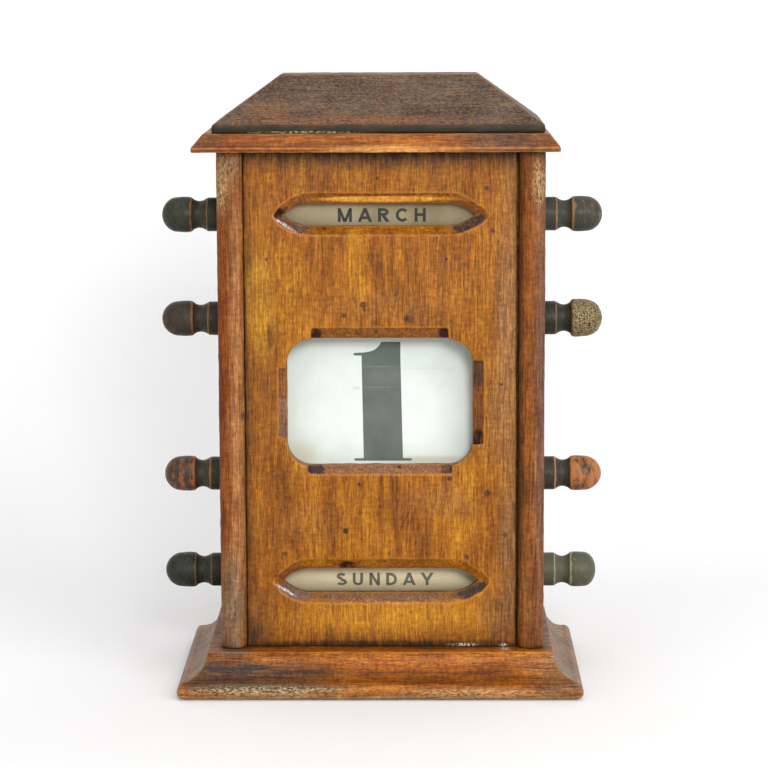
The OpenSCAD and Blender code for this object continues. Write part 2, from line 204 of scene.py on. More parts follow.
for lamp_name, (place, size, watts) in LAMPS.items():
    lamp = bpy.data.lights.new(lamp_name, "AREA")
    lamp.shape = "SQUARE"
    lamp.size = size
    lamp.energy = watts
    holder = bpy.data.objects.new(lamp_name, lamp)
    towards = (Vector(place) - LAMP_AIM).to_track_quat("Z", "Y").to_matrix().to_4x4()
    holder.matrix_world = Matrix.Translation(place) @ towards
    scene.collection.objects.link(holder)
scene.view_settings.view_transform = "Standard"
print("stage: a sheet of studio paper and", len(LAMPS), "soft lamps")

# %% [markdown]
# ## Making a crisp board look handled
#
# The boards of the frame have knife edges. On the real case a century of dusting has rounded
# every edge, and never evenly. A bevel of one width would look machined. Instead each board
# is rebuilt from small voxels, which rounds its edges a little, then relaxed, then pushed in
# and out by soft noise, most of all along its edges. Last, the flat parts are thinned to few
# faces, because they don't need them.
#
# First come the sizes that decide how worn a board looks.

# %% Sizes of the wear
VOXEL = 0.55 * MM
KEEP_FACES = 0.16          # share of faces left after thinning
ARRIS_ANGLE = math.radians(24)
ARRIS_STEP = 0.6 * MM      # spacing of the samples along an edge
KEPT_REACH = 1.3 * MM      # how far from an edge the small faces are kept
RUB_REACH = 0.45 * MM      # how far rubbing spreads from an edge
GRIME_REACH = 2.2 * MM     # how far dirt spreads from a neighbour
NEIGHBOUR_LIMIT = 9 * MM   # past this distance a neighbour leaves no dirt
WAVE = (0.08 * MM, 24 * MM)    # height and length of the slow unevenness
DENT = (0.20 * MM, 3.5 * MM)   # the same, along edges only
THIN_BIAS = 4              # how much more readily flat parts lose faces than edges do
print(f"voxels of {VOXEL / MM:.2f} mm, dents up to {DENT[0] / MM:.2f} mm")

# %% [markdown]
# Next, small tools for meshes: one that joins a CAD node's split points, one that finds its
# sharp outer edges, and a few that read and write a mesh's points at once, because a loop over
# a hundred thousand points is slow.

# %% Mesh tools
def welded_copy(node):
    """A CAD node's mesh as an editable copy with its split points joined."""
    bm = bmesh.new()
    bm.from_mesh(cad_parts[node].data)
    bmesh.ops.remove_doubles(bm, verts=bm.verts, dist=1e-6)
    return bm


def arris_tree(bm):
    """A search tree of points along the outer sharp edges."""
    spots = []
    for edge in bm.edges:
        if len(edge.link_faces) == 2 and edge.is_convex and edge.calc_face_angle(0) > ARRIS_ANGLE:
            a, b = (v.co for v in edge.verts)
            steps = max(1, int((b - a).length / ARRIS_STEP))
            spots += [a.lerp(b, i / steps) for i in range(steps + 1)]
    tree = kdtree.KDTree(len(spots))
    for i, spot in enumerate(spots):
        tree.insert(spot, i)
    tree.balance()
    return tree


def settled(piece):
    """Turns a piece's modifiers into its mesh."""
    depsgraph = bpy.context.evaluated_depsgraph_get()
    mesh = bpy.data.meshes.new_from_object(piece.evaluated_get(depsgraph))
    mesh.name = piece.name
    piece.modifiers.clear()
    piece.data = mesh
    return mesh


def add_marks(mesh, **marks):
    """Stores one number per point under each name."""
    for mark, values in marks.items():
        layer = mesh.attributes.new(mark, "FLOAT", "POINT")
        layer.data.foreach_set("value", np.asarray(values, np.float32))


def points_of(mesh):
    """The places and the normals of a mesh's points, as two arrays."""
    count = len(mesh.vertices)
    places, normals = np.empty(count * 3), np.empty(count * 3, np.float32)
    mesh.vertices.foreach_get("co", places)
    mesh.vertex_normals.foreach_get("vector", normals)
    return places.reshape(-1, 3), normals.reshape(-1, 3)


def new_piece(name, mesh):
    """An object in the scene for a mesh."""
    piece = bpy.data.objects.new(name, mesh)
    scene.collection.objects.link(piece)
    return piece


print("mesh tools ready")

# %% [markdown]
# The windows were cut by hand, so the edges of the panel's openings wander from the drawing by
# up to a millimetre and a half. Two short tables say how far, across and up.

# %% Hand-cut windows
HAND_CUT = {      # along x and along z: place in millimetres, and how far the cut strays there
    0: [(-50, 0), (-43, -0.5), (-39.6, -1.2), (-36.5, -0.9), (-27, -0.8), (0, -0.4), (27.4, -0.7),
        (37.1, -0.6), (39.8, 0.7), (46, 0.3), (52, 0)],
    2: [(28, 0), (37.3, -1.4), (42.2, -1.0), (51.2, -0.7), (53.3, 0.4), (62, 0), (82, 0),
        (90.4, -1.0), (94.2, -1.0), (145.6, -0.8), (148.1, 0.6), (156, 0), (180, 0),
        (187.7, -0.4), (191.4, -0.5), (200.3, -0.3), (203.1, 0.7), (210, 0)],
}


def strayed(places):
    """Points in metres, moved as the edges of the hand-cut windows stray."""
    for axis, strays in HAND_CUT.items():
        at, by = np.array(strays).T * MM
        places[:, axis] += np.interp(places[:, axis], at, by)
    return places


def moved_edges(node):
    """The crisp panel with its windows moved as the hand-cut ones are."""
    bm = welded_copy(node)
    places = strayed(np.array([vert.co for vert in bm.verts]))
    for vert, place in zip(bm.verts, places):
        vert.co = place
    return bm


farthest = max(abs(by) for strays in HAND_CUT.values() for _, by in strays)
print("the windows' edges stray by up to", farthest, "mm")

# %% [markdown]
# Now a board can be worn. While its shape is at hand, each point also remembers how close it is
# to an outer edge, where hands rub, and to a neighbouring board, where dust and old polish
# gather. The finishes read these two marks as "rubbed" and "grime".

# %% A worn board
def worn_board(node, neighbours, seed, soften, finer):
    """A handled-looking board in place of a CAD board."""
    bm = welded_copy(node)
    edges = arris_tree(bm)
    rough = bpy.data.meshes.new(node + "_crisp")
    bm.to_mesh(rough)
    bm.free()
    piece = new_piece("worn_" + node, rough)
    voxels = piece.modifiers.new("voxels", "REMESH")
    voxels.mode, voxels.voxel_size, voxels.use_smooth_shade = "VOXEL", VOXEL * finer, True
    relax = piece.modifiers.new("relax", "SMOOTH")
    relax.factor, relax.iterations = 0.5, soften
    mesh = settled(piece)

    # Push the surface in and out, then thin it where it is nearly flat
    shift = Vector((seed * 0.37, seed * 0.53, seed * 0.71))
    spots, normals = points_of(mesh)
    rub = np.array([math.exp(-edges.find(spot)[2] / KEPT_REACH) for spot in spots])
    slow = np.array([noise.noise(Vector(spot) / WAVE[1] + shift) for spot in spots])
    quick = np.array([noise.noise(Vector(spot) / DENT[1] + shift) for spot in spots])
    push = WAVE[0] * slow + DENT[0] * rub * (quick - 0.3)
    mesh.vertices.foreach_set("co", (spots + normals * push[:, None]).ravel())
    flat = piece.vertex_groups.new(name="flat")
    for level in range(11):
        members = np.flatnonzero(np.round((1 - rub) * 10) == level)
        flat.add(members.tolist(), level / 10, "REPLACE")
    if node == "front_panel":
        mesh.vertices.foreach_set("co", strayed(points_of(mesh)[0]).ravel())
        edges = arris_tree(moved_edges(node))
    thin = piece.modifiers.new("thin", "DECIMATE")
    thin.ratio = KEEP_FACES * finer
    thin.vertex_group = "flat"
    thin.vertex_group_factor = THIN_BIAS
    mesh = settled(piece)

    near = [bvhtree.BVHTree.FromBMesh(welded_copy(n)) for n in neighbours]
    spots, _ = points_of(mesh)
    rubbed = [math.exp(-edges.find(spot)[2] / RUB_REACH) for spot in spots]
    grime = []
    for spot in spots:
        hits = [tree.find_nearest(spot, NEIGHBOUR_LIMIT)[3] for tree in near]
        gap = min((hit for hit in hits if hit is not None), default=NEIGHBOUR_LIMIT)
        grime.append(math.exp(-gap / GRIME_REACH))
    add_marks(mesh, rubbed=rubbed, grime=grime)
    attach(piece, "case")
    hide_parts(node)
    print(f"{piece.name}: {len(mesh.polygons)} faces")
    return piece


print("a board is rebuilt, relaxed, dented, thinned and marked")

# %% [markdown]
# Seven boards make the case. Each needs to know what lies against it, because dirt gathers
# there. The front panel gets smaller voxels than the others, so that its narrow chamfers and
# bevels stay clear.

# %% The seven boards of the case
BOARDS = {        # what lies against a board, how often it is relaxed, and its share of VOXEL
    "base_plinth": (["side_left", "side_right", "front_panel", "back_panel"], 2, 1),
    "side_left": (["front_panel", "base_plinth", "cornice_board"], 2, 1),
    "side_right": (["front_panel", "base_plinth", "cornice_board"], 2, 1),
    "front_panel": (["side_left", "side_right", "base_plinth", "cornice_board"], 1, 0.72),
    "back_panel": (["side_left", "side_right", "base_plinth", "cornice_board"], 2, 1),
    "cornice_board": (["roof_block", "side_left", "side_right", "front_panel"], 2, 1),
    "roof_block": (["cornice_board"], 2, 1),
}
worn = {node: worn_board(node, near, seed, soften, finer)
        for seed, (node, (near, soften, finer)) in enumerate(BOARDS.items())}

# %% [markdown]
# ## Stained and varnished beech
#
# Beech is a pale, close wood with short dark pores and, on the quarter, small shiny flecks.
# Stain sinks in unevenly: more at end grain and in hollows, less where it is rubbed. Over it
# lies a thin old varnish, glossy where it is thick and dull where it is worn.
#
# So the finish is built as the maker would: bare wood with its grain, stain over it in
# patches, dirt in the corners, rubbed edges, and a varnish whose shine varies. All patterns
# are three-dimensional and sized in real millimetres, and run along the board's own grain.
#
# Such layers need a few tools: a measure in millimetres, a product of shares, a coat of one
# colour over another, a soft-edged patch, and a noise that is stretched along the grain.

# %% Tools for layers of colour
def in_millimetres(tree):
    """Where a point lies on the calendar, in millimetres."""
    local = add(tree, "TexCoord").outputs["Object"]
    return add(tree, "VectorMath", {0: local, "Scale": 1 / MM}, operation="SCALE").outputs[0]


def times(tree, *factors):
    """The product of some numbers, kept between 0 and 1."""
    product = factors[0]
    for factor in factors[1:]:
        product = add(tree, "Math", {0: product, 1: factor}, operation="MULTIPLY",
                      use_clamp=True).outputs[0]
    return product


def coat(tree, under, over, *shares, mode="MIX"):
    """A colour laid over another one, by the product of some shares."""
    return add(tree, "Mix", {0: times(tree, *shares), 6: under, 7: over}, data_type="RGBA",
               blend_type=mode).outputs[2]


def patch_mask(tree, place, centre, size, tilt=0):
    """1 in the middle of a soft-edged patch, 0 outside. It may be turned in the front's plane."""
    inside = add(tree, "Mapping", {"Vector": place, "Location": centre, "Scale": size,
                                   "Rotation": (0, math.radians(tilt), 0)}, vector_type="TEXTURE")
    away = add(tree, "VectorMath", {0: inside.outputs[0]}, operation="LENGTH").outputs["Value"]
    return add(tree, "MapRange", {"Value": away, "From Min": 1, "From Max": 0.25},
               interpolation_type="SMOOTHSTEP").outputs["Result"]


def grain_noise(tree, along, across, length, detail=3, mix=0.55, distort=0.0):
    """Noise whose patches are so many millimetres across and along the fibres."""
    stretched = add(tree, "VectorMath", {0: along, 1: (1 / across, 1 / across, 1 / length)},
                    operation="MULTIPLY").outputs[0]
    return add(tree, "TexNoise", {"Vector": stretched, "Scale": 1, "Detail": detail,
                                  "Roughness": mix, "Distortion": distort}).outputs["Fac"]


print("tools ready for layers of colour, in millimetres")

# %% [markdown]
# The grain has several sizes. Fibres and longer streaks run the length of the board, ripples
# stand across them, and flecks are the rays of the wood cut through. Each is a stretched noise
# that makes the stain under it a little lighter or darker. A single fibre is a fiftieth of a
# millimetre wide, too fine to show, so the finest pattern here is a bundle of them.

# %% Grain
FIBRES = (0.26, 3.6)       # millimetres across the grain and along it
STREAKS = (0.8, 13)
RIPPLES = (3.2, 1.3)


def with_grain(tree, along, colour, fibre, fleck, fleck_size, lifted):
    """A stain with all patterns of the grain in it, and the patterns of fibres and flecks."""
    fibres = grain_noise(tree, along, *FIBRES, 3, 0.7)
    streaks = grain_noise(tree, along, *STREAKS, 3, 0.65)
    ripples = grain_noise(tree, along, *RIPPLES, 3, 0.6)
    for pattern, mode, share, stops in (
            (fibres, "OVERLAY", fibre, [(0.32, 0.2), (0.68, 0.8)]),
            (streaks, "SOFT_LIGHT", 0.75, [(0.36, 0.18), (0.64, 0.82)]),
            (ripples, "SOFT_LIGHT", 0.5, [(0.36, 0.25), (0.64, 0.75)])):
        tones = add(tree, "ValToRGB", {"Fac": pattern}, stops)
        colour = coat(tree, colour, tones.outputs[0], share, mode=mode)
    flecks = grain_noise(tree, along, *fleck_size, 2, 0.55, 0.3)
    dashes = add(tree, "ValToRGB", {"Fac": flecks}, [(0.54, 1.0), (0.64, 0.0)]).outputs[0]
    colour = coat(tree, colour, dashes, fleck, mode="MULTIPLY")
    if lifted:
        pale = grain_noise(tree, along, fleck_size[0] * 1.2, fleck_size[1] * 0.9, 2, 0.6, 0.4)
        share = add(tree, "ValToRGB", {"Fac": pale}, [(0.53, 0.0), (0.66, 1.0)]).outputs[0]
        colour = coat(tree, colour, lifted, share, 0.75)
    return colour, fibres, dashes


print("fibres, streaks and ripples, in millimetres:", FIBRES, STREAKS, RIPPLES)

# %% [markdown]
# Handling, sun and damp have left soft patches, and some other soft patches are painted shadow,
# shade and sheen. Some lie only in the hollows that are cut behind the panel's face, partly as
# stains and partly as painted light and shade on the chamfers and bevels. What looks left and
# right gets a grey that is partly dust and partly a painted sheen. Ink and glue have left small
# dark spots, and here and there the finish has flaked off in crumbs; a few crumbly marks are
# painted highlights instead. All of them are patches in space, broken up by a noise so that
# none shows a drawn edge.

# %% Stains, spots and flakes
FACE_Y = -32.0             # the front panel's face, in millimetres
SPOT_CELLS = 0.14          # spots per millimetre, at most
SPOT_TONE = "2a1d1c"
CRUMBS = (0.5, 1.5)


def with_patches_and_painted_light(tree, place, colour, break_up, stains_and_painted_light, recess_marks_and_painted_light, side_dust_and_sheen):
    """A colour with soft patches, patches behind the face, and grey on its sides; some patches are
    painted light and shade, and the grey is partly dust and partly a painted sheen.
    """
    for centre, size, tone, amount, *tilt in stains_and_painted_light:
        mask = patch_mask(tree, place, centre, size, *tilt)
        colour = coat(tree, colour, tone, mask, break_up, amount)
    # Patches that lie only behind the face: partly darker end grain, partly painted light and
    # shade on the chamfers and bevels.
    if recess_marks_and_painted_light:
        depth = add(tree, "SeparateXYZ", {0: place}).outputs["Y"]
        sunk = add(tree, "MapRange", {"Value": depth, "From Min": FACE_Y + 0.2,
                                      "From Max": FACE_Y + 0.6}).outputs[0]
        for centre, size, tone, amount in recess_marks_and_painted_light:
            mask = times(tree, patch_mask(tree, place, centre, size), 2.0)
            colour = coat(tree, colour, tone, mask, sunk, break_up, amount * 1.3)
    # What looks left or right turns grey: partly dust and partly a painted sheen.
    if side_dust_and_sheen:
        normal = add(tree, "TexCoord").outputs["Normal"]
        turned = add(tree, "SeparateXYZ", {0: normal}).outputs["X"]
        aside = add(tree, "Math", {0: turned}, operation="ABSOLUTE").outputs[0]
        share = add(tree, "MapRange", {"Value": aside, "From Min": 0.1, "From Max": 0.35})
        colour = coat(tree, colour, side_dust_and_sheen[0], share.outputs[0], break_up, side_dust_and_sheen[1])
    return colour


def with_spots(tree, place, colour, break_up, amount):
    """A colour with small ink-like spots, scattered by chance."""
    cells = add(tree, "TexVoronoi", {"Vector": place, "Scale": SPOT_CELLS, "Randomness": 1.0})
    chance = add(tree, "SeparateColor", {"Color": cells.outputs["Color"]}).outputs[0]
    reach = add(tree, "MapRange", {"Value": chance, "From Min": 0.3, "From Max": 1,
                                   "To Min": 0, "To Max": 0.22}).outputs[0]
    gap = add(tree, "Math", {0: reach, 1: cells.outputs["Distance"]}, operation="SUBTRACT")
    ink = add(tree, "MapRange", {"Value": gap.outputs[0], "From Min": 0, "From Max": 0.06})
    return coat(tree, colour, SPOT_TONE, ink.outputs[0], break_up, amount)


def with_flaking_and_highlights(tree, place, along, colour, flakes_and_highlights):
    """A colour with crumbly places where the finish has flaked off, and crumbly painted
    highlights.
    """
    noise_here = grain_noise(tree, along, *CRUMBS, 4, 0.7)
    crumbs = add(tree, "ValToRGB", {"Fac": noise_here}, [(0.46, 0.0), (0.56, 1.0)]).outputs[0]
    for centre, size, tone, amount, *tilt in flakes_and_highlights:
        mask = patch_mask(tree, place, centre, size, *tilt)
        edge = add(tree, "Math", {0: mask, 1: 0.25}, operation="ADD", use_clamp=True).outputs[0]
        colour = coat(tree, colour, tone, edge, mask, crumbs, amount)
    return colour


print("spots at most", round(1 / SPOT_CELLS, 1), "mm apart, crumbs of", CRUMBS, "mm")

# %% [markdown]
# The marks "grime" and "rubbed" that the boards carry place the dirt and the wear. Where dirt
# lies, no hand can reach, so the rubbing fades out there. The varnish is thin and tired: it
# mirrors far less than a fresh coat, is duller in the clouds, and lets the fibres be felt.

# %% Wear and varnish
SMUDGES = (2.2, 5)          # millimetres across the grain and along it
VARNISH_IOR = 1.5
VARNISH_SHINE = 0.17        # share of the usual mirror strength, for thin, tired varnish
VARNISH_DEPTH = 0.08 * MM   # how much of the fibres' relief it leaves


def with_wear(tree, along, colour, dirt, grime_amount, rub, rub_amount):
    """A colour with dirt in the corners, and rubbed thin on the edges, both uneven."""
    smudges = grain_noise(tree, along, *SMUDGES, 4, 0.6)
    share = add(tree, "MapRange", {"Value": smudges, "From Min": 0.34, "From Max": 0.6})
    uneven = add(tree, "Math", {0: share.outputs[0], 1: 0.35}, operation="ADD",
                 use_clamp=True).outputs[0]
    tucked = add(tree, "Attribute", attribute_name="grime").outputs["Fac"]
    reached = add(tree, "MapRange", {"Value": tucked, "From Min": 0.6, "From Max": 0.2})
    edge = add(tree, "Attribute", attribute_name="rubbed").outputs["Fac"]
    line = add(tree, "MapRange", {"Value": edge, "From Min": 0.22, "From Max": 0.7})
    sharp = times(tree, line.outputs[0], reached.outputs[0])
    colour = coat(tree, colour, dirt, tucked, uneven, grime_amount)
    return coat(tree, colour, rub, sharp, uneven, rub_amount)


def with_slab(tree, place, colour, broken, slab):
    """A colour that turns into another one past a level of the board."""
    axis, start, end, tone, amount = slab
    level = add(tree, "SeparateXYZ", {0: place}).outputs[axis]
    within = add(tree, "MapRange", {"Value": level, "From Min": start, "From Max": end})
    patchy = add(tree, "MapRange", {"Value": broken, "From Min": 0.34, "From Max": 0.6,
                                    "To Min": 1.0, "To Max": 0.8})
    return coat(tree, colour, tone, within.outputs[0], patchy.outputs[0], amount)


def varnish(tree, surface, clouds, rough, fibres, dashes):
    """Gives a surface its uneven gloss and the fibres' relief."""
    dullness = add(tree, "MapRange", {"Value": clouds, "From Min": 0.3, "From Max": 0.7,
                                      "To Min": rough[1], "To Max": rough[0]})
    tree.links.new(dullness.outputs[0], surface.inputs["Roughness"])
    surface.inputs["IOR"].default_value = VARNISH_IOR
    surface.inputs["Specular IOR Level"].default_value = VARNISH_SHINE
    ridges = add(tree, "ValToRGB", {"Fac": fibres}, [(0.2, 0.0), (0.8, 1.0)]).outputs[0]
    relief = coat(tree, ridges, dashes, 0.7, mode="MULTIPLY")
    bump = add(tree, "Bump", {"Height": relief, "Strength": 0.4, "Distance": VARNISH_DEPTH})
    tree.links.new(bump.outputs[0], surface.inputs["Normal"])


print("varnish: IOR", VARNISH_IOR, "with", VARNISH_SHINE, "of its mirror strength")

# %% [markdown]
# Now the layers go on, in the order of the real finish's life. Three tones of stain follow the
# growth figure. Clouds show where it took, and stains lie in the wood, under its grain, and so do
# the patches of painted light and shade that go with them. Wear and flakes are the newest, so they
# lie on top, and the painted highlights go on with the flakes.

# %% Stained beech
GRAIN_TURN = {"X": (0, math.pi / 2, 0), "Z": (0, 0, 0)}
FIGURE = (7, 60)           # millimetres across the grain and along it
CLOUDS = (12, 15)
PATCHES = (2.6, 9)


def stained_beech(name, grain, deep, body, glow, rub="b8762e", dirt="2c1c10", fleck=0.35,
                  fleck_size=(0.42, 1.9), fibre=0.6, cloud=0.4, rough=(0.36, 0.52),
                  rub_amount=0.6, grime_amount=0.8, stains_and_painted_light=(), flakes_and_highlights=(), spots=0.0,
                  lifted=None, slab=None, recess_marks_and_painted_light=(), side_dust_and_sheen=None):
    """Beech with a stain of three tones, whose fibres run along one axis of the calendar.

    Stains are soft patches (centre, size, colour, amount, tilt), some of them painted shadow,
    painted shade and painted sheen; flakes are broken ones where the finish has come off, and a
    few of them are painted highlights, both in millimetres. lifted is a pale fleck's colour, on
    weathered wood. slab is (axis, start, end, colour, amount) for one part of the board that is
    darker. The patches that lie only behind the front face are stains and painted light and shade,
    and the side colour is (colour, amount) for what looks left and right, partly dust and partly a
    painted sheen.
    """
    material, tree, surface = blank_material(name)
    place = in_millimetres(tree)
    along = add(tree, "Mapping", {"Vector": place, "Rotation": GRAIN_TURN[grain]}).outputs[0]
    figure = grain_noise(tree, along, *FIGURE, 4, 0.6, 0.5)
    colour = add(tree, "ValToRGB", {"Fac": figure},
                 [(0.30, deep), (0.5, body), (0.70, glow)]).outputs[0]
    clouds = grain_noise(tree, along, *CLOUDS, 4, 0.6)
    shade = add(tree, "ValToRGB", {"Fac": clouds}, [(0.36, "9a7050"), (0.60, "ffffff")])
    colour = coat(tree, colour, shade.outputs[0], cloud, mode="MULTIPLY")
    broken = grain_noise(tree, along, *PATCHES, 4, 0.6)
    break_up = add(tree, "MapRange", {"Value": broken, "From Min": 0.3, "From Max": 0.62,
                                      "To Min": 0.45, "To Max": 1.0}).outputs[0]
    colour = with_patches_and_painted_light(tree, place, colour, break_up, stains_and_painted_light, recess_marks_and_painted_light, side_dust_and_sheen)
    colour, fibres, dashes = with_grain(tree, along, colour, fibre, fleck, fleck_size, lifted)
    if spots:
        colour = with_spots(tree, place, colour, break_up, spots)
    colour = with_wear(tree, along, colour, dirt, grime_amount, rub, rub_amount)
    if slab:
        colour = with_slab(tree, place, colour, broken, slab)
    colour = with_flaking_and_highlights(tree, place, along, colour, flakes_and_highlights)
    tree.links.new(colour, surface.inputs["Base Color"])
    varnish(tree, surface, clouds, rough, fibres, dashes)
    return material


print("growth figure, clouds and patches, in millimetres:", FIGURE, CLOUDS, PATCHES)

# %% [markdown]
# The front panel is what the eye rests on, so its marks are placed one by one: dark ends where
# end grain shows in the chamfers, the pale and dark sides of the bevels, which are painted light
# and shade, with a painted greyish sheen and white painted highlights on the bevels that face up,
# a darker top under the cornice, partly dirt and partly a painted shadow of the cornice, a golden
# middle, painted shadow lines beside the columns, a painted greyish sheen at the right, a black
# line of dirt at the foot, a scratch and the larger spots.

# %% Marks of the front panel
# Patches behind the face. The pale and dark sides of the chamfers and bevels are painted light and
# shade from above and the right, the greyish tones on the bevels that face up are a painted sheen,
# and the lighter strip along the month window's top bevel is painted light; the dark ends are end
# grain.
PANEL_RECESS_MARKS_AND_LIGHT = [          # centre and size in millimetres, colour, amount
    ((0, -31, 146.5), (60, 6, 9), "7c4a20", 0.8), ((-27, -31, 146.5), (4, 6, 6), "2a120b", 1.0),
    ((26, -31, 146.5), (4, 6, 6), "30120d", 1.0), ((38.7, -31, 119), (8, 6, 36), "744420", 0.85),
    ((38.7, -31, 131.5), (7, 6, 9), "46302a", 0.8), ((-39, -31, 131.5), (7, 6, 4), "2e2224", 0.8),
    ((-39, -31, 107.5), (7, 6, 6), "4c4340", 0.7), ((38.7, -31, 103), (7, 6, 6), "1a0e0b", 1.0),
    ((0, -31, 91), (60, 6, 9), "80583f", 0.85), ((-27, -31, 91), (5, 6, 6), "362726", 0.95),
    ((28, -31, 91), (5, 6, 6), "3e2c2b", 0.95), ((-39, -31, 128), (8, 6, 20), "7c4e28", 0.8),
    ((-39, -31, 110), (8, 6, 15), "7a5a46", 0.85), ((-35, -31, 199), (13, 6, 6), "7c4823", 0.9),
    ((-42, -31, 195.4), (5, 6, 3), "26160f", 1.0), ((-35, -31, 191), (12, 6, 5), "604639", 1.0),
    ((36, -31, 199), (13, 6, 6), "804a20", 0.85), ((36, -31, 191), (13, 6, 5.5), "42332b", 1.0),
    ((0, -31, 203.3), (36, 6, 1.1), "6a3a14", 0.9),
    ((0, -31, 201.0), (36, 6, 1.6), "d09238", 0.9), ((0, -31, 40), (46, 6, 5), "6c4c35", 0.9),
    ((-36, -31, 41), (12, 6, 5), "5e4a42", 1.0), ((37, -31, 41), (12, 6, 5), "3c2e28", 1.0),
    ((0, -31, 50), (46, 6, 4), "8a5724", 0.6), ((-37, -31, 49), (10, 6, 5), "7a4a26", 0.8),
    ((-14, -31, 51), (5, 6, 3), "2a1208", 0.9),
]
PANEL_STAINS_AND_PAINTED_LIGHT = [           # centre and size in millimetres, colour, amount, tilt in degrees
    # The nearly black band along the top, under the cornice, is partly dirt and partly a painted
    # shadow of the cornice; the two greyish patches at x 54 are a painted sheen of the lamp on the
    # right.
    ((0, -32, 222), (120, 9, 12), "24150a", 0.97), ((-30, -32, 208), (14, 9, 12), "7a4a1c", 0.5),
    ((22, -32, 210), (20, 9, 9), "80501f", 0.4), ((54, -32, 150), (11, 9, 95), "966c44", 0.75),
    ((54, -32, 60), (10, 9, 50), "85603c", 0.7), ((-49, -32, 160), (9, 9, 34), "ac7a1e", 0.8),
    ((-46, -32, 196), (12, 9, 16), "7e4717", 0.55),
    # This dark line along the panel's left edge is a painted shadow beside the column.
    ((-56.5, -32, 120), (3.2, 9, 130), "2a1b0d", 0.8),
    ((-46, -32, 118), (8, 9, 34), "80501e", 0.55), ((46, -32, 190), (10, 9, 22), "875022", 0.55),
    ((47, -32, 118), (8, 9, 40), "9a6c38", 0.5), ((28, -32, 170), (22, 9, 16), "8d561f", 0.5),
    ((2, -32, 157), (40, 9, 12), "8c5a26", 0.5), ((24, -32, 78), (22, 9, 10), "8a5c2e", 0.55),
    ((-30, -32, 70), (22, 9, 12), "8a5a28", 0.4), ((2, -32, 30), (58, 9, 11), "b87c1e", 0.85),
    ((-51, -32, 30), (9, 9, 16), "7c4c20", 0.7), ((47, -32, 31), (11, 9, 15), "6e4a2c", 0.75),
    ((0, -32, 18.6), (90, 9, 2.8), "21180e", 1.0), ((-55, -32, 24), (9, 9, 12), "2e2013", 0.85),
    ((10, -32, 72), (0.45, 9, 9), "4a2a14", 0.95, 26), ((-2, -32, 150), (3, 9, 4), "5a3418", 0.7),
    ((11, -32, 153), (3.4, 9, 2.6), "3a2018", 1.0),
    ((-39.6, -32, 56.6), (1.9, 9, 1.5), "2a1916", 1.0),
    ((-12.2, -32, 213.8), (2.0, 9, 2.0), "3e2622", 0.9),
    ((-43.6, -32, 202.3), (1.3, 9, 1.7), "3c2420", 0.9),
    ((-6.9, -32, 156.7), (1.4, 9, 1.4), "4a2c1c", 0.9),
    ((34.5, -32, 55.3), (1.5, 9, 1.6), "3a2019", 0.9),
    ((44.7, -32, 188.5), (1.3, 9, 1.8), "3a2018", 0.9),
    ((-46.1, -32, 177.1), (1.2, 9, 1.2), "41261c", 0.9),
    ((49.9, -32, 64.5), (1.4, 9, 1.8), "3c241c", 0.9),
    ((2.7, -32, 56.6), (1.1, 9, 1.1), "4a2a1c", 0.8),
    ((-45, -32, 146), (1.8, 9, 9), "4a2410", 0.8),
]
print("front panel:", len(PANEL_RECESS_MARKS_AND_LIGHT), "marks in hollows,", len(PANEL_STAINS_AND_PAINTED_LIGHT), "on its face")
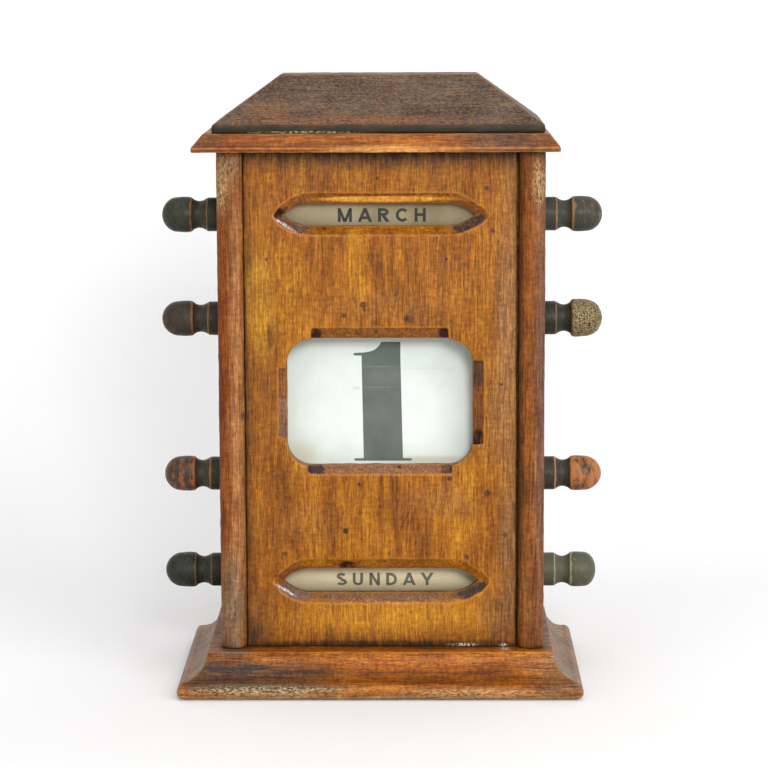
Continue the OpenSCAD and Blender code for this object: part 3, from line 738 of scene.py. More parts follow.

# %% [markdown]
# Each board has a finish of its own. The columns are rubbed pale at the top, the plinth is dark
# at the left and scuffed along its foot, the cornice is reddest, and the roof has weathered to
# a dull brown with a nearly black eave. Some patches are painted light and shade: a highlight and
# shade on the rounded columns, a shadow beside the right one, and a greyish sheen at the right
# and high on the roof; the grey on the plinth's ends is partly dust and partly painted sheen.

# %% Finishes of the boards
FINISHES = {
    "front_panel": stained_beech(
        "panel_beech", "Z", "72400b", "92570f", "ac7216", fleck=0.18, fibre=0.8, cloud=0.35,
        rub="bc7a30", stains_and_painted_light=PANEL_STAINS_AND_PAINTED_LIGHT, spots=1.0, rub_amount=0.6,
        recess_marks_and_painted_light=PANEL_RECESS_MARKS_AND_LIGHT,
        flakes_and_highlights=[((49.5, -33, 18.4), (2.5, 3, 1.4), "e6eadf", 1.0),
                ((33, -32, 18.6), (9, 3, 1.2), "cfc8a8", 0.9),
                # These two pale marks on the lower left edges of the window bevels are painted
                # highlights, not flaked finish.
                ((-38.5, -31.5, 190.8), (8, 3, 0.9), "f0e2d6", 1.0, 32),
                ((-39.5, -31.5, 41.2), (8, 3, 0.9), "f0e2d6", 1.0, 32)]),
    "side_left": stained_beech(
        "left_column_beech", "Z", "63360f", "86501f", "a36b38", fleck=0.25, cloud=0.4,
        rub="9c6430", grime_amount=0.5,
        # The pale band is a painted highlight on the column's rounded front; the dark orange band
        # at its outer edge is partly stain and partly painted shade.
        stains_and_painted_light=[((-57.5, -36, 120), (4.2, 9, 140), "a06c42", 0.7),
                ((-64.2, -35, 126), (5.0, 9, 150), "6e3006", 0.95),
                ((-61, -36, 34), (7, 9, 34), "7a6a52", 0.75),
                ((-64, -35, 208), (5, 8, 18), "6c4a2e", 0.7),
                ((-56, -34, 114), (2, 5, 2.6), "1c1c24", 0.9)],
        flakes_and_highlights=[((-63.5, -34, 207), (5, 7, 18), "b89a6c", 0.9),
                ((-60, -35, 214), (8, 7, 9), "94785a", 0.7)]),
    "side_right": stained_beech(
        "right_column_beech", "Z", "5c340f", "7e4a1c", "94602e", fleck=0.25, cloud=0.4,
        rub="8c5a30", grime_amount=0.6,
        # The greyish outer edge is a painted sheen of the lamp on the right; the dark line at the
        # inner edge is a painted shadow beside the gap to the panel.
        stains_and_painted_light=[((65, -34, 120), (5, 9, 150), "604538", 0.85),
                ((58.5, -36, 150), (4.0, 9, 120), "84470e", 0.75),
                ((56.0, -33, 120), (2.0, 9, 140), "2c1606", 0.7)],
        flakes_and_highlights=[((63, -34, 208), (4.5, 7, 17), "b3946a", 0.9)]),
    "base_plinth": stained_beech(
        "plinth_beech", "X", "6c3808", "98560e", "b46e1a", fleck=0.55, fleck_size=(0.45, 1.7),
        rub="a8642a", rub_amount=0.9, cloud=0.5,
        stains_and_painted_light=[((-64, -46, 10), (28, 16, 8), "2b2b2a", 1.0),
                ((-42, -46, 10), (34, 16, 6), "34302a", 0.95),
                ((76, -42, 10), (22, 32, 14), "66533f", 0.7),
                ((12, -46, 14), (56, 12, 5), "b06214", 0.7),
                ((-48, -54, 6), (50, 9, 4), "36312a", 1.0),
                ((0, -53, 0.4), (240, 12, 3.2), "9c7c52", 1.0),
                ((-62, -40, 18.5), (15, 8, 3.5), "5e5c4c", 0.8),
                ((0, -50, 8), (95, 9, 2.2), "6a3f1c", 0.5)],
        flakes_and_highlights=[((50, -36, 18), (3, 4, 2), "dfe2d6", 0.9),
                ((-46, -54, 4.5), (60, 6, 4.5), "b8a276", 0.85),
                ((36, -54, 3.5), (56, 6, 3.5), "bfa47a", 0.7)],
        # The grey on the plinth's ends is partly dust and partly a painted sheen.
        side_dust_and_sheen=("7c7260", 0.6)),
    "cornice_board": stained_beech(
        "cornice_beech", "X", "6c380c", "8e4e16", "a4621c", fleck=0.4, fleck_size=(0.45, 2.6),
        rub="c08040", cloud=0.4, grime_amount=0.6,
        stains_and_painted_light=[((-70, -42, 224), (12, 14, 8), "4a3424", 0.7),
                # The greyish dark right end is partly stain and partly a painted sheen of the lamp
                # on the right.
                ((50, -42, 225), (30, 16, 7), "4e3a2c", 0.9),
                ((4, -44, 221.5), (34, 8, 3.0), "c8924a", 0.9),
                ((-50, -44, 221.5), (22, 8, 2.4), "5a280a", 0.9),
                ((60, -44, 221.5), (18, 8, 2.6), "503020", 0.85)]),
    "roof_block": stained_beech(
        "roof_beech", "X", "3e3229", "53443a", "66523f", fleck=0.8, fleck_size=(0.4, 1.5),
        fibre=0.5, cloud=0.35, rub="9c6230", rub_amount=0.75, rough=(0.42, 0.6),
        lifted="94683f", dirt="1c1a14",
        stains_and_painted_light=[((-10, -36, 231.5), (60, 10, 7), "8a5430", 0.6),
                # The greyish patch high on the roof is a painted sheen; the other two are stain.
                ((30, -20, 245), (40, 20, 8), "4c4238", 0.5),
                ((-45, -30, 235), (14, 16, 8), "80502e", 0.4)],
        slab=("Z", 231.4, 230.8, "1a1a13", 0.97),
        flakes_and_highlights=[((-30, -37, 227.9), (34, 5, 1.0), "b2b99c", 1.0)]),
    "back_panel": stained_beech("back_beech", "Z", "6a4018", "855424", "9c6a34", fleck=0.2,
                                spots=0.6),
}
for node, piece in worn.items():
    piece.data.materials.clear()
    piece.data.materials.append(FINISHES[node])
print("wood finishes:", len(FINISHES))

# %% [markdown]
# ## Eight turned knobs
#
# Each knob is turned from one piece of wood: a collar against the case, a hollow neck to grip
# and a domed head. They were dyed black, and fingers have brought the brown back along the
# sharp rings and on the ends. No two have aged alike, so each has its own amount of wear. One
# head has lost its skin and is pitted, and one is rubbed back to orange wood.
#
# A lathe profile spun round an axis gives the form. A little noise gives back the hand.

# %% Profile of a knob
AXIS_Y = -6.0
KNOB_INNER = 66.1          # distance of a collar's face from the middle, in millimetres
SOCKET_R, SOCKET_DEPTH = 3.3, 9.05
COLLAR_R, COLLAR_LEN = 6.9, 5.3
NECK_R, NECK_LEN = 5.5, 6.3
HEAD_R, HEAD_LEN, DOME_LEN = 7.1, 5.8, 7.0
AROUND = 72
AXIS_Z = {"month": 192.9, "date_upper": 150.05, "date_lower": 85.25, "day": 44.5}


def eased(corner, before, after, radius, steps=4):
    """A corner of a profile rounded off between the points before and after it."""
    corner, before, after = (Vector(p) for p in (corner, before, after))
    start = corner + (before - corner).normalized() * radius
    end = corner + (after - corner).normalized() * radius
    return [tuple(start.lerp(corner, t).lerp(corner.lerp(end, t), t))
            for t in (i / steps for i in range(steps + 1))]


def knob_profile(head_r, dome_len, point):
    """Length and radius along a knob, from its socket's floor round to the tip of its dome."""
    head_at = COLLAR_LEN + NECK_LEN
    dome_at = head_at + HEAD_LEN
    inner = [(SOCKET_DEPTH, 0.0), (SOCKET_DEPTH, SOCKET_R), (0.0, SOCKET_R)]
    collar = eased((0, COLLAR_R), (0, SOCKET_R), (COLLAR_LEN, COLLAR_R), 0.7)
    collar += eased((COLLAR_LEN, COLLAR_R), (0, COLLAR_R), (COLLAR_LEN + 1, NECK_R), 0.6)
    hollow = COLLAR_R - NECK_R
    neck = [(COLLAR_LEN + NECK_LEN * t, COLLAR_R - hollow * math.sin(math.pi * t) ** 0.75)
            for t in (i / 14 for i in range(1, 14))]
    head = eased((head_at, head_r), (head_at - 0.8, NECK_R + 0.4), (dome_at, head_r), 0.7)
    head += [(head_at + HEAD_LEN * t, head_r + 0.18 * math.sin(math.pi * t))
             for t in (i / 6 for i in range(1, 7))]
    dome = [(dome_at + dome_len * math.sin(turn) ** point, head_r * math.cos(turn))
            for turn in (math.pi / 2 * i / 14 for i in range(1, 15))]
    return inner + collar + neck + head + dome


print("knob:", round(COLLAR_LEN + NECK_LEN + HEAD_LEN + DOME_LEN, 1), "mm long,", 2 * HEAD_R,
      "mm across its head")

# %% [markdown]
# Spinning is done by hand here, ring by ring, because each point has to carry its wear: how
# near it is to a sharp ring, and whether it lies on the head, where fingers hold it.

# %% A turned knob
PROFILE_STEP = 0.5         # millimetres between the points of a profile
RING_REACH = 0.35          # how far wear spreads from a sharp ring
CROWN_REACH = 2.6          # how far it spreads from the tip of the dome
CROWN_WEAR = 0.15


def turned_knob(node, body, material, side, z, head_r=HEAD_R, shorter=0.0, point=1.0,
                pits=0.0, seed=0):
    """One knob spun from its profile, with its own wear, in place of its CAD node."""
    profile = knob_profile(head_r, DOME_LEN - shorter, point)
    # Points closer together, so that the wear can follow the form
    fine = []
    for (t0, r0), (t1, r1) in zip(profile, profile[1:]):
        steps = max(1, int(math.hypot(t1 - t0, r1 - r0) / PROFILE_STEP))
        fine += [(t0 + (t1 - t0) * i / steps, r0 + (r1 - r0) * i / steps) for i in range(steps)]
    fine.append(profile[-1])
    bm = bmesh.new()
    tips = (fine[0], fine[-1])
    rows = []
    for t, r in fine:
        if (t, r) in tips:
            rows.append([bm.verts.new((t, 0, 0))])
            continue
        rows.append([bm.verts.new((t, r * math.cos(a), r * math.sin(a)))
                     for a in (math.tau * i / AROUND for i in range(AROUND))])
    for low, high in zip(rows, rows[1:]):
        for i in range(AROUND):
            j = (i + 1) % AROUND
            face = [low[i % len(low)], high[i % len(high)], high[j % len(high)], low[j % len(low)]]
            bm.faces.new(dict.fromkeys(face))
    shift = Vector((seed * 3.1, seed * 1.7, seed * 2.3))
    rubbed, skin = [], []
    head_at = COLLAR_LEN + NECK_LEN
    tip_at = head_at + HEAD_LEN + DOME_LEN
    bm.normal_update()
    for vert in bm.verts:
        t, y, zz = vert.co
        radius = math.hypot(y, zz)
        outside = radius > SOCKET_R + 0.05 or t > SOCKET_DEPTH + 1
        on_head = min(max((t - head_at + 0.3) / 0.8, 0), 1) if outside else 0
        edge = min(abs(t - head_at) + max(head_r - radius, 0) * 0.6,
                   abs(t - COLLAR_LEN) + max(COLLAR_R - radius, 0),
                   abs(t) + max(COLLAR_R - radius, 0))
        crown = math.exp(-(tip_at - t) / CROWN_REACH)
        wear = math.exp(-edge / RING_REACH) + CROWN_WEAR * crown
        rubbed.append(wear if outside else 0)
        skin.append(on_head)
        if outside:
            push = 0.05 * noise.noise(vert.co / 4 + shift)
            push += 0.02 * noise.noise(Vector((t / 0.5, 0, 0)) + shift)
            if pits:
                cell = noise.noise(vert.co / 1.1 + shift)
                push -= pits * on_head * max(0, cell) + 0.02 * on_head
            vert.co += vert.normal * push
    for vert in bm.verts:
        t, y, zz = vert.co
        vert.co = Vector((side * (KNOB_INNER + t), AXIS_Y + y, z + zz)) * MM
    bmesh.ops.recalc_face_normals(bm, faces=bm.faces)
    mesh = bpy.data.meshes.new("turned_" + node)
    bm.to_mesh(mesh)
    bm.free()
    mesh.shade_smooth()
    add_marks(mesh, rubbed=rubbed, head=skin)
    mesh.materials.append(material)
    piece = new_piece("turned_" + node, mesh)
    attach(piece, body)
    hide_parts(node)
    return piece


print("a knob is spun in", AROUND, "steps")

# %% [markdown]
# Ebonised wood is dyed black and waxed. The dye goes in less than a millimetre, so where it is
# rubbed the brown wood comes back, first on the rings and then in patches on the head. The
# fibres run along the knob's axis. They are finer in truth, and drawn so that they show.

# %% Ebonised wood
FIBRES_PER_MM = (2.6, 0.5, 0.5)
PATCHES_PER_MM = (0.5, 0.22, 0.22)


def mixed(hex_value, other, share):
    """A screen colour part of the way towards another one."""
    pairs = [(int(hex_value[i:i + 2], 16), int(other[i:i + 2], 16)) for i in (0, 2, 4)]
    return "".join(f"{round(a + (b - a) * share):02x}" for a, b in pairs)


def faded(hex_value):
    """Black dye gone brown between the fibres."""
    return mixed(hex_value, "6a6654", 0.42)


def lighter(hex_value):
    """The same wood between its fibres."""
    return mixed(hex_value, "ffe2b0", 0.22)


def ebonised(name, black, brown, wear, head=None, rough=(0.32, 0.55)):
    """Black-dyed wood whose brown shows in rubbed rings and in worn patches."""
    material, tree, surface = blank_material(name)
    place = in_millimetres(tree)
    fine, wide = (add(tree, "VectorMath", {0: place, 1: per_mm}, operation="MULTIPLY").outputs[0]
                  for per_mm in (FIBRES_PER_MM, PATCHES_PER_MM))
    fibres = add(tree, "TexNoise", {"Vector": fine, "Scale": 1, "Detail": 4,
                                    "Roughness": 0.65}).outputs["Fac"]
    blotch = add(tree, "TexNoise", {"Vector": wide, "Scale": 1, "Detail": 5,
                                    "Roughness": 0.7}).outputs["Fac"]
    dye = add(tree, "ValToRGB", {"Fac": fibres}, [(0.3, black), (0.72, faded(black))])
    wood = add(tree, "ValToRGB", {"Fac": fibres}, [(0.3, brown), (0.7, lighter(brown))])
    rub = add(tree, "Attribute", attribute_name="rubbed").outputs["Fac"]
    mask = add(tree, "Attribute", attribute_name="head").outputs["Fac"]
    handled = add(tree, "MapRange", {"Value": mask, "To Min": wear * 0.35, "To Max": wear})
    lift = add(tree, "Math", {0: rub, 1: handled.outputs[0]}, operation="ADD")
    part = add(tree, "Math", {0: lift.outputs[0], 1: blotch}, operation="ADD")
    share = add(tree, "MapRange", {"Value": part.outputs[0], "From Min": 0.8, "From Max": 0.98})
    colour = coat(tree, dye.outputs[0], wood.outputs[0], share.outputs[0])
    if head:
        speckle = add(tree, "TexNoise", {"Vector": place, "Scale": 1.7, "Detail": 2})
        pitted = add(tree, "ValToRGB", {"Fac": speckle.outputs["Fac"]},
                     [(0.38, "1b160f"), (0.52, head), (0.64, lighter(head))])
        colour = coat(tree, colour, pitted.outputs[0], mask)
    tree.links.new(colour, surface.inputs["Base Color"])
    gloss = add(tree, "MapRange", {"Value": blotch, "From Min": 0.3, "From Max": 0.7,
                                   "To Min": rough[0], "To Max": rough[1]})
    tree.links.new(gloss.outputs[0], surface.inputs["Roughness"])
    surface.inputs["Specular IOR Level"].default_value = VARNISH_SHINE
    bump = add(tree, "Bump", {"Height": fibres, "Strength": 0.6, "Distance": 0.12 * MM})
    tree.links.new(bump.outputs[0], surface.inputs["Normal"])
    return material


print("dye of 1a1813 fades to", faded("1a1813"), "between the fibres")

# %% [markdown]
# No two knobs have aged alike, so each gets a black, a brown, and a share of wear. Some heads
# are a little shorter, one is larger and pitted, and one comes to a blunter point.

# %% The eight knobs
KNOBS = {     # black dye, bare wood, overall wear, and what else sets the knob apart
    "month_knob_left": ("1d1f18", "664324", 0.15, {"shorter": 0.6}),
    "month_knob_right": ("2b2b26", "7c5536", 0.21, {"shorter": 0.4}),
    "date_upper_knob_left": ("241b15", "6a4022", 0.17, {}),
    "date_upper_knob_right": ("1a1813", "5e4228", 0.16,
                              {"head_r": 7.5, "shorter": 0.3, "pits": 0.5}),
    "date_lower_knob_left": ("23201a", "7c401e", 0.31, {"shorter": 0.2}),
    "date_lower_knob_right": ("22211c", "97582a", 0.42, {"point": 1.1}),
    "day_knob_left": ("12150f", "4e3820", 0.10, {}),
    "day_knob_right": ("484a3c", "857f62", 0.2, {"shorter": 2.0}),
}
BARE_HEAD = "7a6947"        # the pitted head's colour
for seed, (node, (black, brown, wear, own)) in enumerate(KNOBS.items()):
    spindle, side = node.rsplit("_knob_", 1)
    head = BARE_HEAD if "pits" in own else None
    finish = ebonised("ebonised_" + node, black, brown, wear, head)
    turned_knob(node, spindle + "_spindle", finish, 1 if side == "right" else -1,
                AXIS_Z[spindle], seed=seed, **own)
print("turned", len(KNOBS), "knobs")

# %% [markdown]
# ## The linen scroll
#
# Two metres of fine linen carry the 31 dates. Most of it is wound on the lower roller, a
# little on the upper one, and one date shows in the window. The cloth is held taut, so it
# stays flat but for faint creases that rolling has left across it. The numeral is printed.
#
# The path of the cloth comes first: over the upper roll, straight down, and round the lower.

# %% Path of the linen
LINEN_WIDTH, LINEN_T = 92.0, 0.2       # millimetres
CORE_R = 5.05              # radius of a roller
SHEET_GAP = 0.2            # room between the rolls and the sheet that shows
ROLLS = {                  # height, outer radius and length of linen, in millimetres
    "upper": (AXIS_Z["date_upper"], 6.143, 200),
    "lower": (AXIS_Z["date_lower"], 11.869, 1820),
}
OVER = math.radians(50)    # how far the sheet laps over each roll
CREASES = [(131.0, 0.16, 1.3), (122.5, 0.22, 1.6), (104.0, 0.08, 1.2)]  # height, depth, width


def linen_path():
    """The middle of the visible linen from top to bottom, as (y, z, outward y, outward z)."""
    (z_up, r_up, _), (z_low, r_low, _) = ROLLS["upper"], ROLLS["lower"]
    tilt = math.asin((r_low - r_up) / (z_up - z_low))
    lift = SHEET_GAP + LINEN_T / 2
    path = []
    for i in range(9):
        turn = tilt + (OVER - tilt) * (1 - i / 8)
        path.append((z_up, r_up + lift, turn))
    for i in range(9):
        turn = tilt - (tilt + OVER) * i / 8
        path.append((z_low, r_low + lift, turn))
    points = [(AXIS_Y - r * math.cos(a), z + r * math.sin(a), -math.cos(a), math.sin(a))
              for z, r, a in path]
    straight = [tuple(p + (q - p) * i / 90 for p, q in zip(points[8], points[9]))
                for i in range(1, 90)]
    return points[:9] + straight + points[9:]


def linen_depth(x, z):
    """How far the taut linen stands out from its path at a point, in millimetres."""
    depth = 0.05 * noise.noise(Vector((x / 23, z / 17, 4.2)))
    depth += 0.02 * noise.noise(Vector((x / 6, z / 5, 1.3)))
    for height, deep, wide in CREASES:
        bend = 0.5 * noise.noise(Vector((x / 18, height, 0)))
        off = (z - height - bend) / wide
        uneven = 0.6 + 0.4 * noise.noise(Vector((x / 14, height, 7)))
        depth += deep * math.exp(-off * off) * uneven
    fade = min(1, max(0, (z - 90) / 6), max(0, (147 - z) / 6))
    return depth * fade * 0.6


path = linen_path()

# %% [markdown]
# Each roll is made as it really is: one long strip wound in a spiral, a layer on a layer. The
# number of turns follows from its length and from the mean of its inner and outer radius.

# %% Linen scroll
def cloth_mesh(name, rows):
    """A mesh from rows of points in millimetres, with a quad between each four."""
    across = len(rows[0])
    points = [Vector(p) * MM for row in rows for p in row]
    faces = [(i * across + j, i * across + j + 1, (i + 1) * across + j + 1, (i + 1) * across + j)
             for i in range(len(rows) - 1) for j in range(across - 1)]
    mesh = bpy.data.meshes.new(name)
    mesh.from_pydata(points, [], faces)
    mesh.shade_smooth()
    return mesh


def thickened(piece, thickness):
    """Gives a sheet its thickness on both sides of its middle."""
    shell = piece.modifiers.new("thickness", "SOLIDIFY")
    shell.thickness = thickness * MM
    shell.offset = 0
    settled(piece)


ACROSS = 60                # quads across the sheet
rows = [[(x, y + ny * linen_depth(x, z), z + nz * linen_depth(x, z))
         for x in (LINEN_WIDTH * (j / ACROSS - 0.5) for j in range(ACROSS + 1))]
        for y, z, ny, nz in path]
taut = new_piece("linen_in_window", cloth_mesh("linen_in_window", rows))
thickened(taut, LINEN_T * 0.8)
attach(taut, "case")
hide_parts("date_sheet")

linen_pieces = [taut]
for which, (z, radius, length) in ROLLS.items():
    inner, outer = CORE_R + 0.1, radius - 0.1
    turns = length / (math.pi * (inner + outer))
    growth = (outer - inner) / (turns * math.tau)
    per_turn = 40
    steps = int(turns * per_turn)
    rows = []
    for i in range(steps + 1):
        turn = math.tau * turns * i / steps
        r = inner + growth * turn
        rows.append([(x, AXIS_Y - r * math.cos(turn), z + r * math.sin(turn))
                     for x in (-LINEN_WIDTH / 2, 0, LINEN_WIDTH / 2)])
    roll = new_piece(f"linen_roll_{which}", cloth_mesh(f"linen_roll_{which}", rows))
    thickened(roll, LINEN_T * 0.7)
    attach(roll, f"date_{which}_spindle")
    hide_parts(f"date_roll_{which}")
    linen_pieces.append(roll)

# %% [markdown]
# The numeral is a slab-footed 1, the most ordinary printer's figure. It is drawn as left and
# right edges that change with height, cut into narrow rows and laid on the linen.

# %% Printed numeral
PRINT_LIFT = 0.03          # how far print stands off what carries it, in millimetres
NUMERAL = [      # height, left edge, right edge
    (92.55, -11.2, 11.9), (93.0, -11.5, 12.2), (93.45, -11.3, 12.0), (93.55, -7.6, 8.5),
    (114, -8.0, 8.0), (135.5, -8.4, 7.5), (135.6, -11.4, 7.5), (136.1, -11.8, 7.5),
    (136.6, -11.3, 7.5), (136.75, -7.8, 7.5), (137.05, -5.6, 7.5), (137.5, -4.0, 7.5),
    (138.1, -2.8, 7.5), (138.8, -1.9, 7.5), (139.7, -1.1, 7.5), (141.1, -0.3, 7.5),
]


def on_linen(x, z):
    """A point of the print just in front of the linen."""
    for (y0, z0, ny, nz), (y1, z1, _, _) in zip(path, path[1:]):
        if z0 >= z >= z1 and z0 > z1:
            y = y0 + (y1 - y0) * (z0 - z) / (z0 - z1)
            lift = linen_depth(x, z) + LINEN_T * 0.4 + PRINT_LIFT
            return x, y + ny * lift, z + nz * lift


heights = sorted({h for h, _, _ in NUMERAL} | {92.5 + 0.5 * i for i in range(98)})
heights = [h for h in heights if h <= NUMERAL[-1][0]]
known = [list(column) for column in zip(*NUMERAL)]
rows = [[on_linen(left + (right - left) * j / 16, h) for j in range(17)]
        for h, left, right in zip(heights, np.interp(heights, known[0], known[1]),
                                  np.interp(heights, known[0], known[2]))]
numeral = new_piece("printed_numeral", cloth_mesh("printed_numeral", rows[::-1]))
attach(numeral, "case")
print(f"{numeral.name}: {heights[-1] - heights[0]:.1f} mm high")

# %% [markdown]
# ## Printed labels
#
# Twelve month names run round the upper drum and seven weekday names round the lower one, in
# a plain sans serif with open spacing. Each name is set flat, cut into thin strips so that it
# can bend, and wrapped on its band of paper.

# %% Month and weekday names
MONTHS = ("JANUARY FEBRUARY MARCH APRIL MAY JUNE JULY AUGUST SEPTEMBER OCTOBER NOVEMBER "
          "DECEMBER").split()
DAYS = "MONDAY TUESDAY WEDNESDAY THURSDAY FRIDAY SATURDAY SUNDAY".split()
LABELS = {   # names, the front one, band radius, its turn, letter height, its width and middle
    "month": (MONTHS, "MARCH", 17.5, 3.8, 5.5, 35.5, 0.2),
    "day": (DAYS, "SUNDAY", 10.21, -12.2, 5.7, 39.8, 0.8),
}
print(len(MONTHS), "months and", len(DAYS), "weekdays")

# %% [markdown]
# A plain capital is a few strokes of even width. Each letter is written down as the middle
# lines of its strokes, in a box one unit high, so that straight ones take two points.

# %% Letters
STROKE = 0.21              # width of a letter's strokes, as a share of its height
LETTER_GAP = 0.46          # open spacing between letters, in the same measure
EDGE = STROKE / 2


def bow(x, y, rx, ry, first, last, steps=12):
    """Points along a part of an ellipse, between two angles in degrees."""
    turns = (math.radians(first + (last - first) * i / steps) for i in range(steps + 1))
    return [(x + rx * math.cos(t), y + ry * math.sin(t)) for t in turns]


def upright(x):
    """The middle line of a full-height stroke."""
    return [(x, 0), (x, 1)]


def level(x0, x1, y):
    """The middle line of a stroke across."""
    return [(x0, y), (x1, y)]


BOWL = [(EDGE, 1 - EDGE), *bow(0.37, 0.715, 0.26, 0.285 - EDGE, 90, -90), (EDGE, 0.43 + EDGE)]
LETTERS = {      # width, then the middle lines of the strokes in a box one unit high
    "A": (0.88, [[(0.06, 0), (0.44, 1)], [(0.82, 0), (0.44, 1)], level(0.17, 0.71, 0.3)]),
    "B": (0.72, [upright(EDGE),
                 [(EDGE, 1 - EDGE), *bow(0.38, 0.75, 0.24, 0.25 - EDGE, 90, -90),
                  (EDGE, 0.5 + EDGE)],
                 [(EDGE, 0.5 + EDGE), *bow(0.38, 0.285, 0.27, 0.285 - EDGE, 90, -90),
                  (EDGE, EDGE)]]),
    "C": (0.84, [bow(0.46, 0.5, 0.46 - EDGE, 0.5 - EDGE, 42, 318, 20)]),
    "D": (0.80, [upright(EDGE),
                 [(EDGE, 1 - EDGE), *bow(0.3, 0.5, 0.5 - EDGE, 0.5 - EDGE, 90, -90, 16),
                  (EDGE, EDGE)]]),
    "E": (0.66, [upright(EDGE), level(EDGE, 0.64, 1 - EDGE), level(EDGE, 0.6, 0.52),
                 level(EDGE, 0.66, EDGE)]),
    "F": (0.62, [upright(EDGE), level(EDGE, 0.62, 1 - EDGE), level(EDGE, 0.56, 0.5)]),
    "G": (0.88, [bow(0.46, 0.5, 0.46 - EDGE, 0.5 - EDGE, 42, 335, 20), level(0.48, 0.88, 0.45),
                 [(0.88 - EDGE, 0.45), (0.88 - EDGE, 0.06)]]),
    "H": (0.78, [upright(EDGE), upright(0.78 - EDGE), level(EDGE, 0.78 - EDGE, 0.52)]),
    "I": (STROKE, [upright(EDGE)]),
    "J": (0.58, [[(0.58 - EDGE, 1), *bow(0.28, 0.3, 0.3 - EDGE, 0.3 - EDGE, 0, -170)]]),
    "L": (0.6, [upright(EDGE), level(EDGE, 0.6, EDGE)]),
    "M": (0.98, [upright(EDGE), upright(0.98 - EDGE), [(0.09, 1), (0.49, 0)],
                 [(0.89, 1), (0.49, 0)]]),
    "N": (0.78, [upright(EDGE), upright(0.78 - EDGE), [(0.1, 1), (0.68, 0)]]),
    "O": (0.94, [bow(0.47, 0.5, 0.47 - EDGE, 0.5 - EDGE, 0, 360, 28)]),
    "P": (0.68, [upright(EDGE), BOWL]),
    "R": (0.76, [upright(EDGE), BOWL, [(0.36, 0.47), (0.67, 0)]]),
    "S": (0.74, [bow(0.37, 0.745, 0.31 - EDGE / 2, 0.255 - EDGE, 28, 262, 14)
                 + bow(0.37, 0.28, 0.35 - EDGE / 2, 0.28 - EDGE, 82, -152, 14)]),
    "T": (0.74, [level(0, 0.74, 1 - EDGE), upright(0.37)]),
    "U": (0.76, [[(EDGE, 1), *bow(0.38, 0.36, 0.38 - EDGE, 0.36 - EDGE, 180, 360, 14),
                  (0.76 - EDGE, 1)]]),
    "V": (0.86, [[(0.07, 1), (0.43, 0)], [(0.79, 1), (0.43, 0)]]),
    "W": (1.18, [[(0.07, 1), (0.33, 0)], [(0.59, 1), (0.33, 0)], [(0.59, 1), (0.85, 0)],
                 [(1.11, 1), (0.85, 0)]]),
    "Y": (0.84, [[(0.06, 1), (0.42, 0.42)], [(0.78, 1), (0.42, 0.42)], [(0.42, 0.46), (0.42, 0)]]),
}


print("letters drawn:", "".join(LETTERS))

# %% [markdown]
# A word is laid flat from ribbons, trimmed at the top and foot, and cut into strips, so that it
# can bend. Then it is wrapped on its band. The name in front sits where the photograph shows
# it, a little above or below the middle of its window, because nobody sets a drum quite true.

# %% Printed names
def ribbon(bm, line, left):
    """Adds a stroke of even width along a line, run on past the top or foot of the letter."""
    points = [Vector(p) for p in line]
    for end, inner in ((0, 1), (-1, -2)):
        if points[end].y in (0, 1):
            points[end] += (points[end] - points[inner]).normalized() * STROKE
    sides = []
    for i, point in enumerate(points):
        way = (points[min(i + 1, len(points) - 1)] - points[max(i - 1, 0)]).normalized()
        off = Vector((-way.y, way.x)) * EDGE
        sides.append([bm.verts.new((*(point + way_out + left), 0)) for way_out in (off, -off)])
    for (a, b), (c, d) in zip(sides, sides[1:]):
        bm.faces.new((a, b, d, c))


def flat_word(word):
    """A word in flat strokes, one unit high and centred on the origin, and its width."""
    width = sum(LETTERS[c][0] for c in word) + LETTER_GAP * (len(word) - 1)
    bm = bmesh.new()
    left = -width / 2
    for letter in word:
        for line in LETTERS[letter][1]:
            ribbon(bm, line, Vector((left, -0.5)))
        left += LETTERS[letter][0] + LETTER_GAP
    for k in range(8):       # the first two cuts trim the letters, the rest let them bend
        height, up = ((0.5, 1), (-0.5, -1))[k] if k < 2 else (-0.5 + (k - 1) / 7, 1)
        bmesh.ops.bisect_plane(bm, geom=bm.verts[:] + bm.edges[:] + bm.faces[:],
                               plane_co=(0, height, 0), plane_no=(0, up, 0), clear_outer=k < 2)
    return bm, width


def wrapped_words(which):
    """All names of a drum, bent round its band, as one printed piece."""
    words, front, radius, tilt, height, width, centre = LABELS[which]
    _, natural = flat_word(front)
    stretch = width / (natural * height)
    joined = bmesh.new()
    for i, word in enumerate(words):
        bm, _ = flat_word(word)
        turn = math.radians(tilt) - math.tau * (i - words.index(front)) / len(words)
        for v in bm.verts:
            angle = turn + v.co.y * height / radius
            r = radius + PRINT_LIFT
            v.co = Vector((centre + v.co.x * height * stretch, AXIS_Y - r * math.cos(angle),
                           AXIS_Z[which] + r * math.sin(angle))) * MM
        one = bpy.data.meshes.new("word")
        bm.to_mesh(one)
        joined.from_mesh(one)
        bm.free()
    mesh = bpy.data.meshes.new(f"{which}_names")
    joined.to_mesh(mesh)
    joined.free()
    names = new_piece(f"{which}_names", mesh)
    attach(names, f"{which}_spindle")
    print(f"{names.name}: {len(words)} words, {len(mesh.polygons)} faces, stretch {stretch:.2f}")
    return names


names = {which: wrapped_words(which) for which in LABELS}

# %% [markdown]
# ## Cloth, paper and ink
#
# Linen shows its weave only close up, as a fine grid of threads a third of a millimetre apart.
# They are drawn twice as coarse here, so that they show at all. The cloth is white, with the
# yellow of old glue in one corner, and grey strips along its left and right edges and along one
# crease are painted shade. The paper is buff with age; on the weekday band it is painted lighter
# to offset the shade in its deeper slot, and so is its ink, as a haze of light over that band.
# Printing ink on both sits a little thin, and the fibres show through it. The drums, rollers and
# shafts never saw stain.
# The screws are slotted, brass at the back and steel below.

# %% Cloth, paper and ink
WEAVE_SCALE = 1 / 2.2      # of the wave texture, which puts threads 0.69 mm apart
SOFT_RELIEF = 0.03 * MM


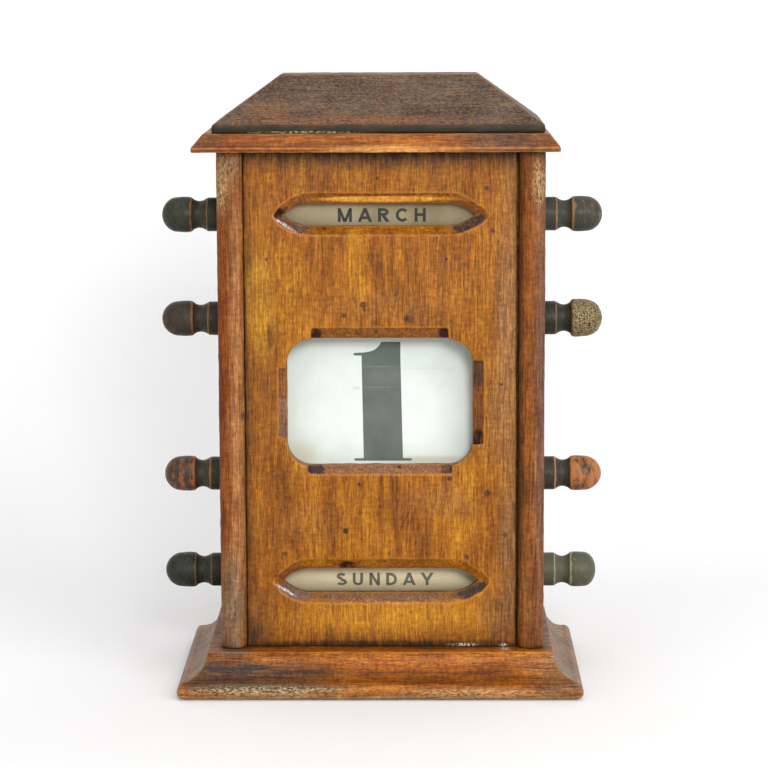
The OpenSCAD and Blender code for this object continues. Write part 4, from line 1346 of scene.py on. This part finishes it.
def soft_surface(name, low, high, spot, woven=False, rough=0.85, stains_and_painted_light=()):
    """A matt material with cloudy tone, small spots and, on cloth, a woven relief."""
    material, tree, surface = blank_material(name)
    place = in_millimetres(tree)
    cloud = add(tree, "TexNoise", {"Vector": place, "Scale": 0.07, "Detail": 4}).outputs["Fac"]
    ground = add(tree, "ValToRGB", {"Fac": cloud}, [(0.35, low), (0.65, high)]).outputs[0]
    fine = add(tree, "TexNoise", {"Vector": place, "Scale": 1.3, "Detail": 4,
                                  "Roughness": 0.6}).outputs["Fac"]
    spots = add(tree, "ValToRGB", {"Fac": fine}, [(0.30, 1.0), (0.36, 0.0)]).outputs[0]
    colour = coat(tree, ground, spot, spots)
    for centre, size, tone, amount in stains_and_painted_light:
        colour = coat(tree, colour, tone, patch_mask(tree, place, centre, size), amount)
    tree.links.new(colour, surface.inputs["Base Color"])
    height = fine
    if woven:
        warp, weft = (add(tree, "TexWave", {"Vector": place, "Scale": WEAVE_SCALE,
                                            "Distortion": 0.6, "Detail": 1},
                          bands_direction=way).outputs["Fac"] for way in ("X", "Z"))
        height = add(tree, "Math", {0: warp, 1: weft}, operation="ADD").outputs[0]
    bump = add(tree, "Bump", {"Height": height, "Strength": 0.5, "Distance": SOFT_RELIEF})
    tree.links.new(bump.outputs[0], surface.inputs["Normal"])
    surface.inputs["Roughness"].default_value = rough
    surface.inputs["Specular IOR Level"].default_value = 0.3
    return material


# The grey strips along the linen's left and right edges are painted shade, and the thin grey line
# at a height of 130.4 mm is painted shade along a crease; the yellow corner is old glue.
linen = soft_surface("white_linen", "d0d8d1", "d9e0d9", "c8cec2", woven=True, stains_and_painted_light=[
    ((-35, -18, 95), (12, 30, 8), "b8aa84", 0.45), ((-37, -18, 118), (3, 30, 30), "cac8b8", 0.3),
    ((37, -18, 130), (5, 30, 22), "d2d4c0", 0.3), ((20, -18, 92.5), (34, 30, 3), "b6b39a", 0.6),
    ((-10.5, -18, 122.3), (2.5, 30, 1.0), "c3b696", 0.5),
    ((20, -18, 130.4), (22, 30, 0.4), "c2c8bd", 0.4)])
buff_paper = soft_surface("buff_label_paper", "827559", "998b6f", "6e6048")
# The weekday band's paper is the same buff paper, painted lighter to offset the shade in its
# deeper slot.
day_paper_painted_lighter = soft_surface("day_label_paper_painted_lighter", "dfcfa8", "ecdcb6", "bdae8a")
printing_ink = soft_surface("printing_ink", "23261f", "2d3029", "4a4c42", rough=0.6)
# The weekday ink is the same printing ink, painted lighter as a haze of light over that deeper
# band.
day_ink_painted_lighter = soft_surface("day_label_ink_painted_lighter", "6a6b5e", "787869", "9a947c", rough=0.6)
numeral_ink = soft_surface("numeral_ink", "525a53", "606861", "6a7169", rough=0.7, stains_and_painted_light=[
    ((-1, -18, 131), (11, 30, 0.4), "838a82", 0.4),
    ((-2, -18, 122.6), (13, 30, 0.6), "767d75", 0.4),
    ((2, -18, 127), (12, 30, 5), "6c736c", 0.4)])


def dress(piece, material):
    """Gives a piece or a CAD node one material all over."""
    piece.data.materials.clear()
    piece.data.materials.append(material)


for piece in linen_pieces:
    dress(piece, linen)
dress(numeral, numeral_ink)
dress(names["month"], printing_ink)
dress(names["day"], day_ink_painted_lighter)
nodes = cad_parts
dress(nodes["month_labels"], buff_paper)
dress(nodes["day_labels"], day_paper_painted_lighter)
print("dressed: linen, two papers and three inks")

# %% [markdown]
# The drums, rollers and shafts never saw stain, so they keep the pale tone of bare beech. The
# screws are slotted. Brass has gone brown in patches, and steel has begun to rust.

# %% Bare wood and screws
bare = stained_beech("bare_beech", "X", "a88458", "bd9868", "cfae80", fleck=0.5,
                     rough=(0.6, 0.75), rub_amount=0, grime_amount=0)
for node in ("month_shaft", "month_drum", "day_shaft", "day_drum", "date_upper_roller",
             "date_lower_roller"):
    dress(nodes[node], bare)


def screw_metal(name, bright, dull):
    """Metal of old screws: turned bright once, now clouded and spotted."""
    material, tree, surface = blank_material(name)
    cloud = add(tree, "TexNoise", {"Vector": in_millimetres(tree), "Scale": 0.7,
                                   "Detail": 5}).outputs["Fac"]
    tones = add(tree, "ValToRGB", {"Fac": cloud}, [(0.35, dull), (0.62, bright)])
    tree.links.new(tones.outputs[0], surface.inputs["Base Color"])
    gloss = add(tree, "MapRange", {"Value": cloud, "From Min": 0.3, "From Max": 0.7,
                                   "To Min": 0.6, "To Max": 0.28})
    tree.links.new(gloss.outputs[0], surface.inputs["Roughness"])
    surface.inputs["Metallic"].default_value = 1
    return material


brass = screw_metal("aged_brass", "c9a35c", "6f5226")
steel = screw_metal("aged_steel", "9a968f", "54493f")
dress(nodes["back_screws"], brass)
for node in ("base_screws", "cornice_screws", "roof_screws"):
    dress(nodes[node], steel)
print("materials:", len(bpy.data.materials))
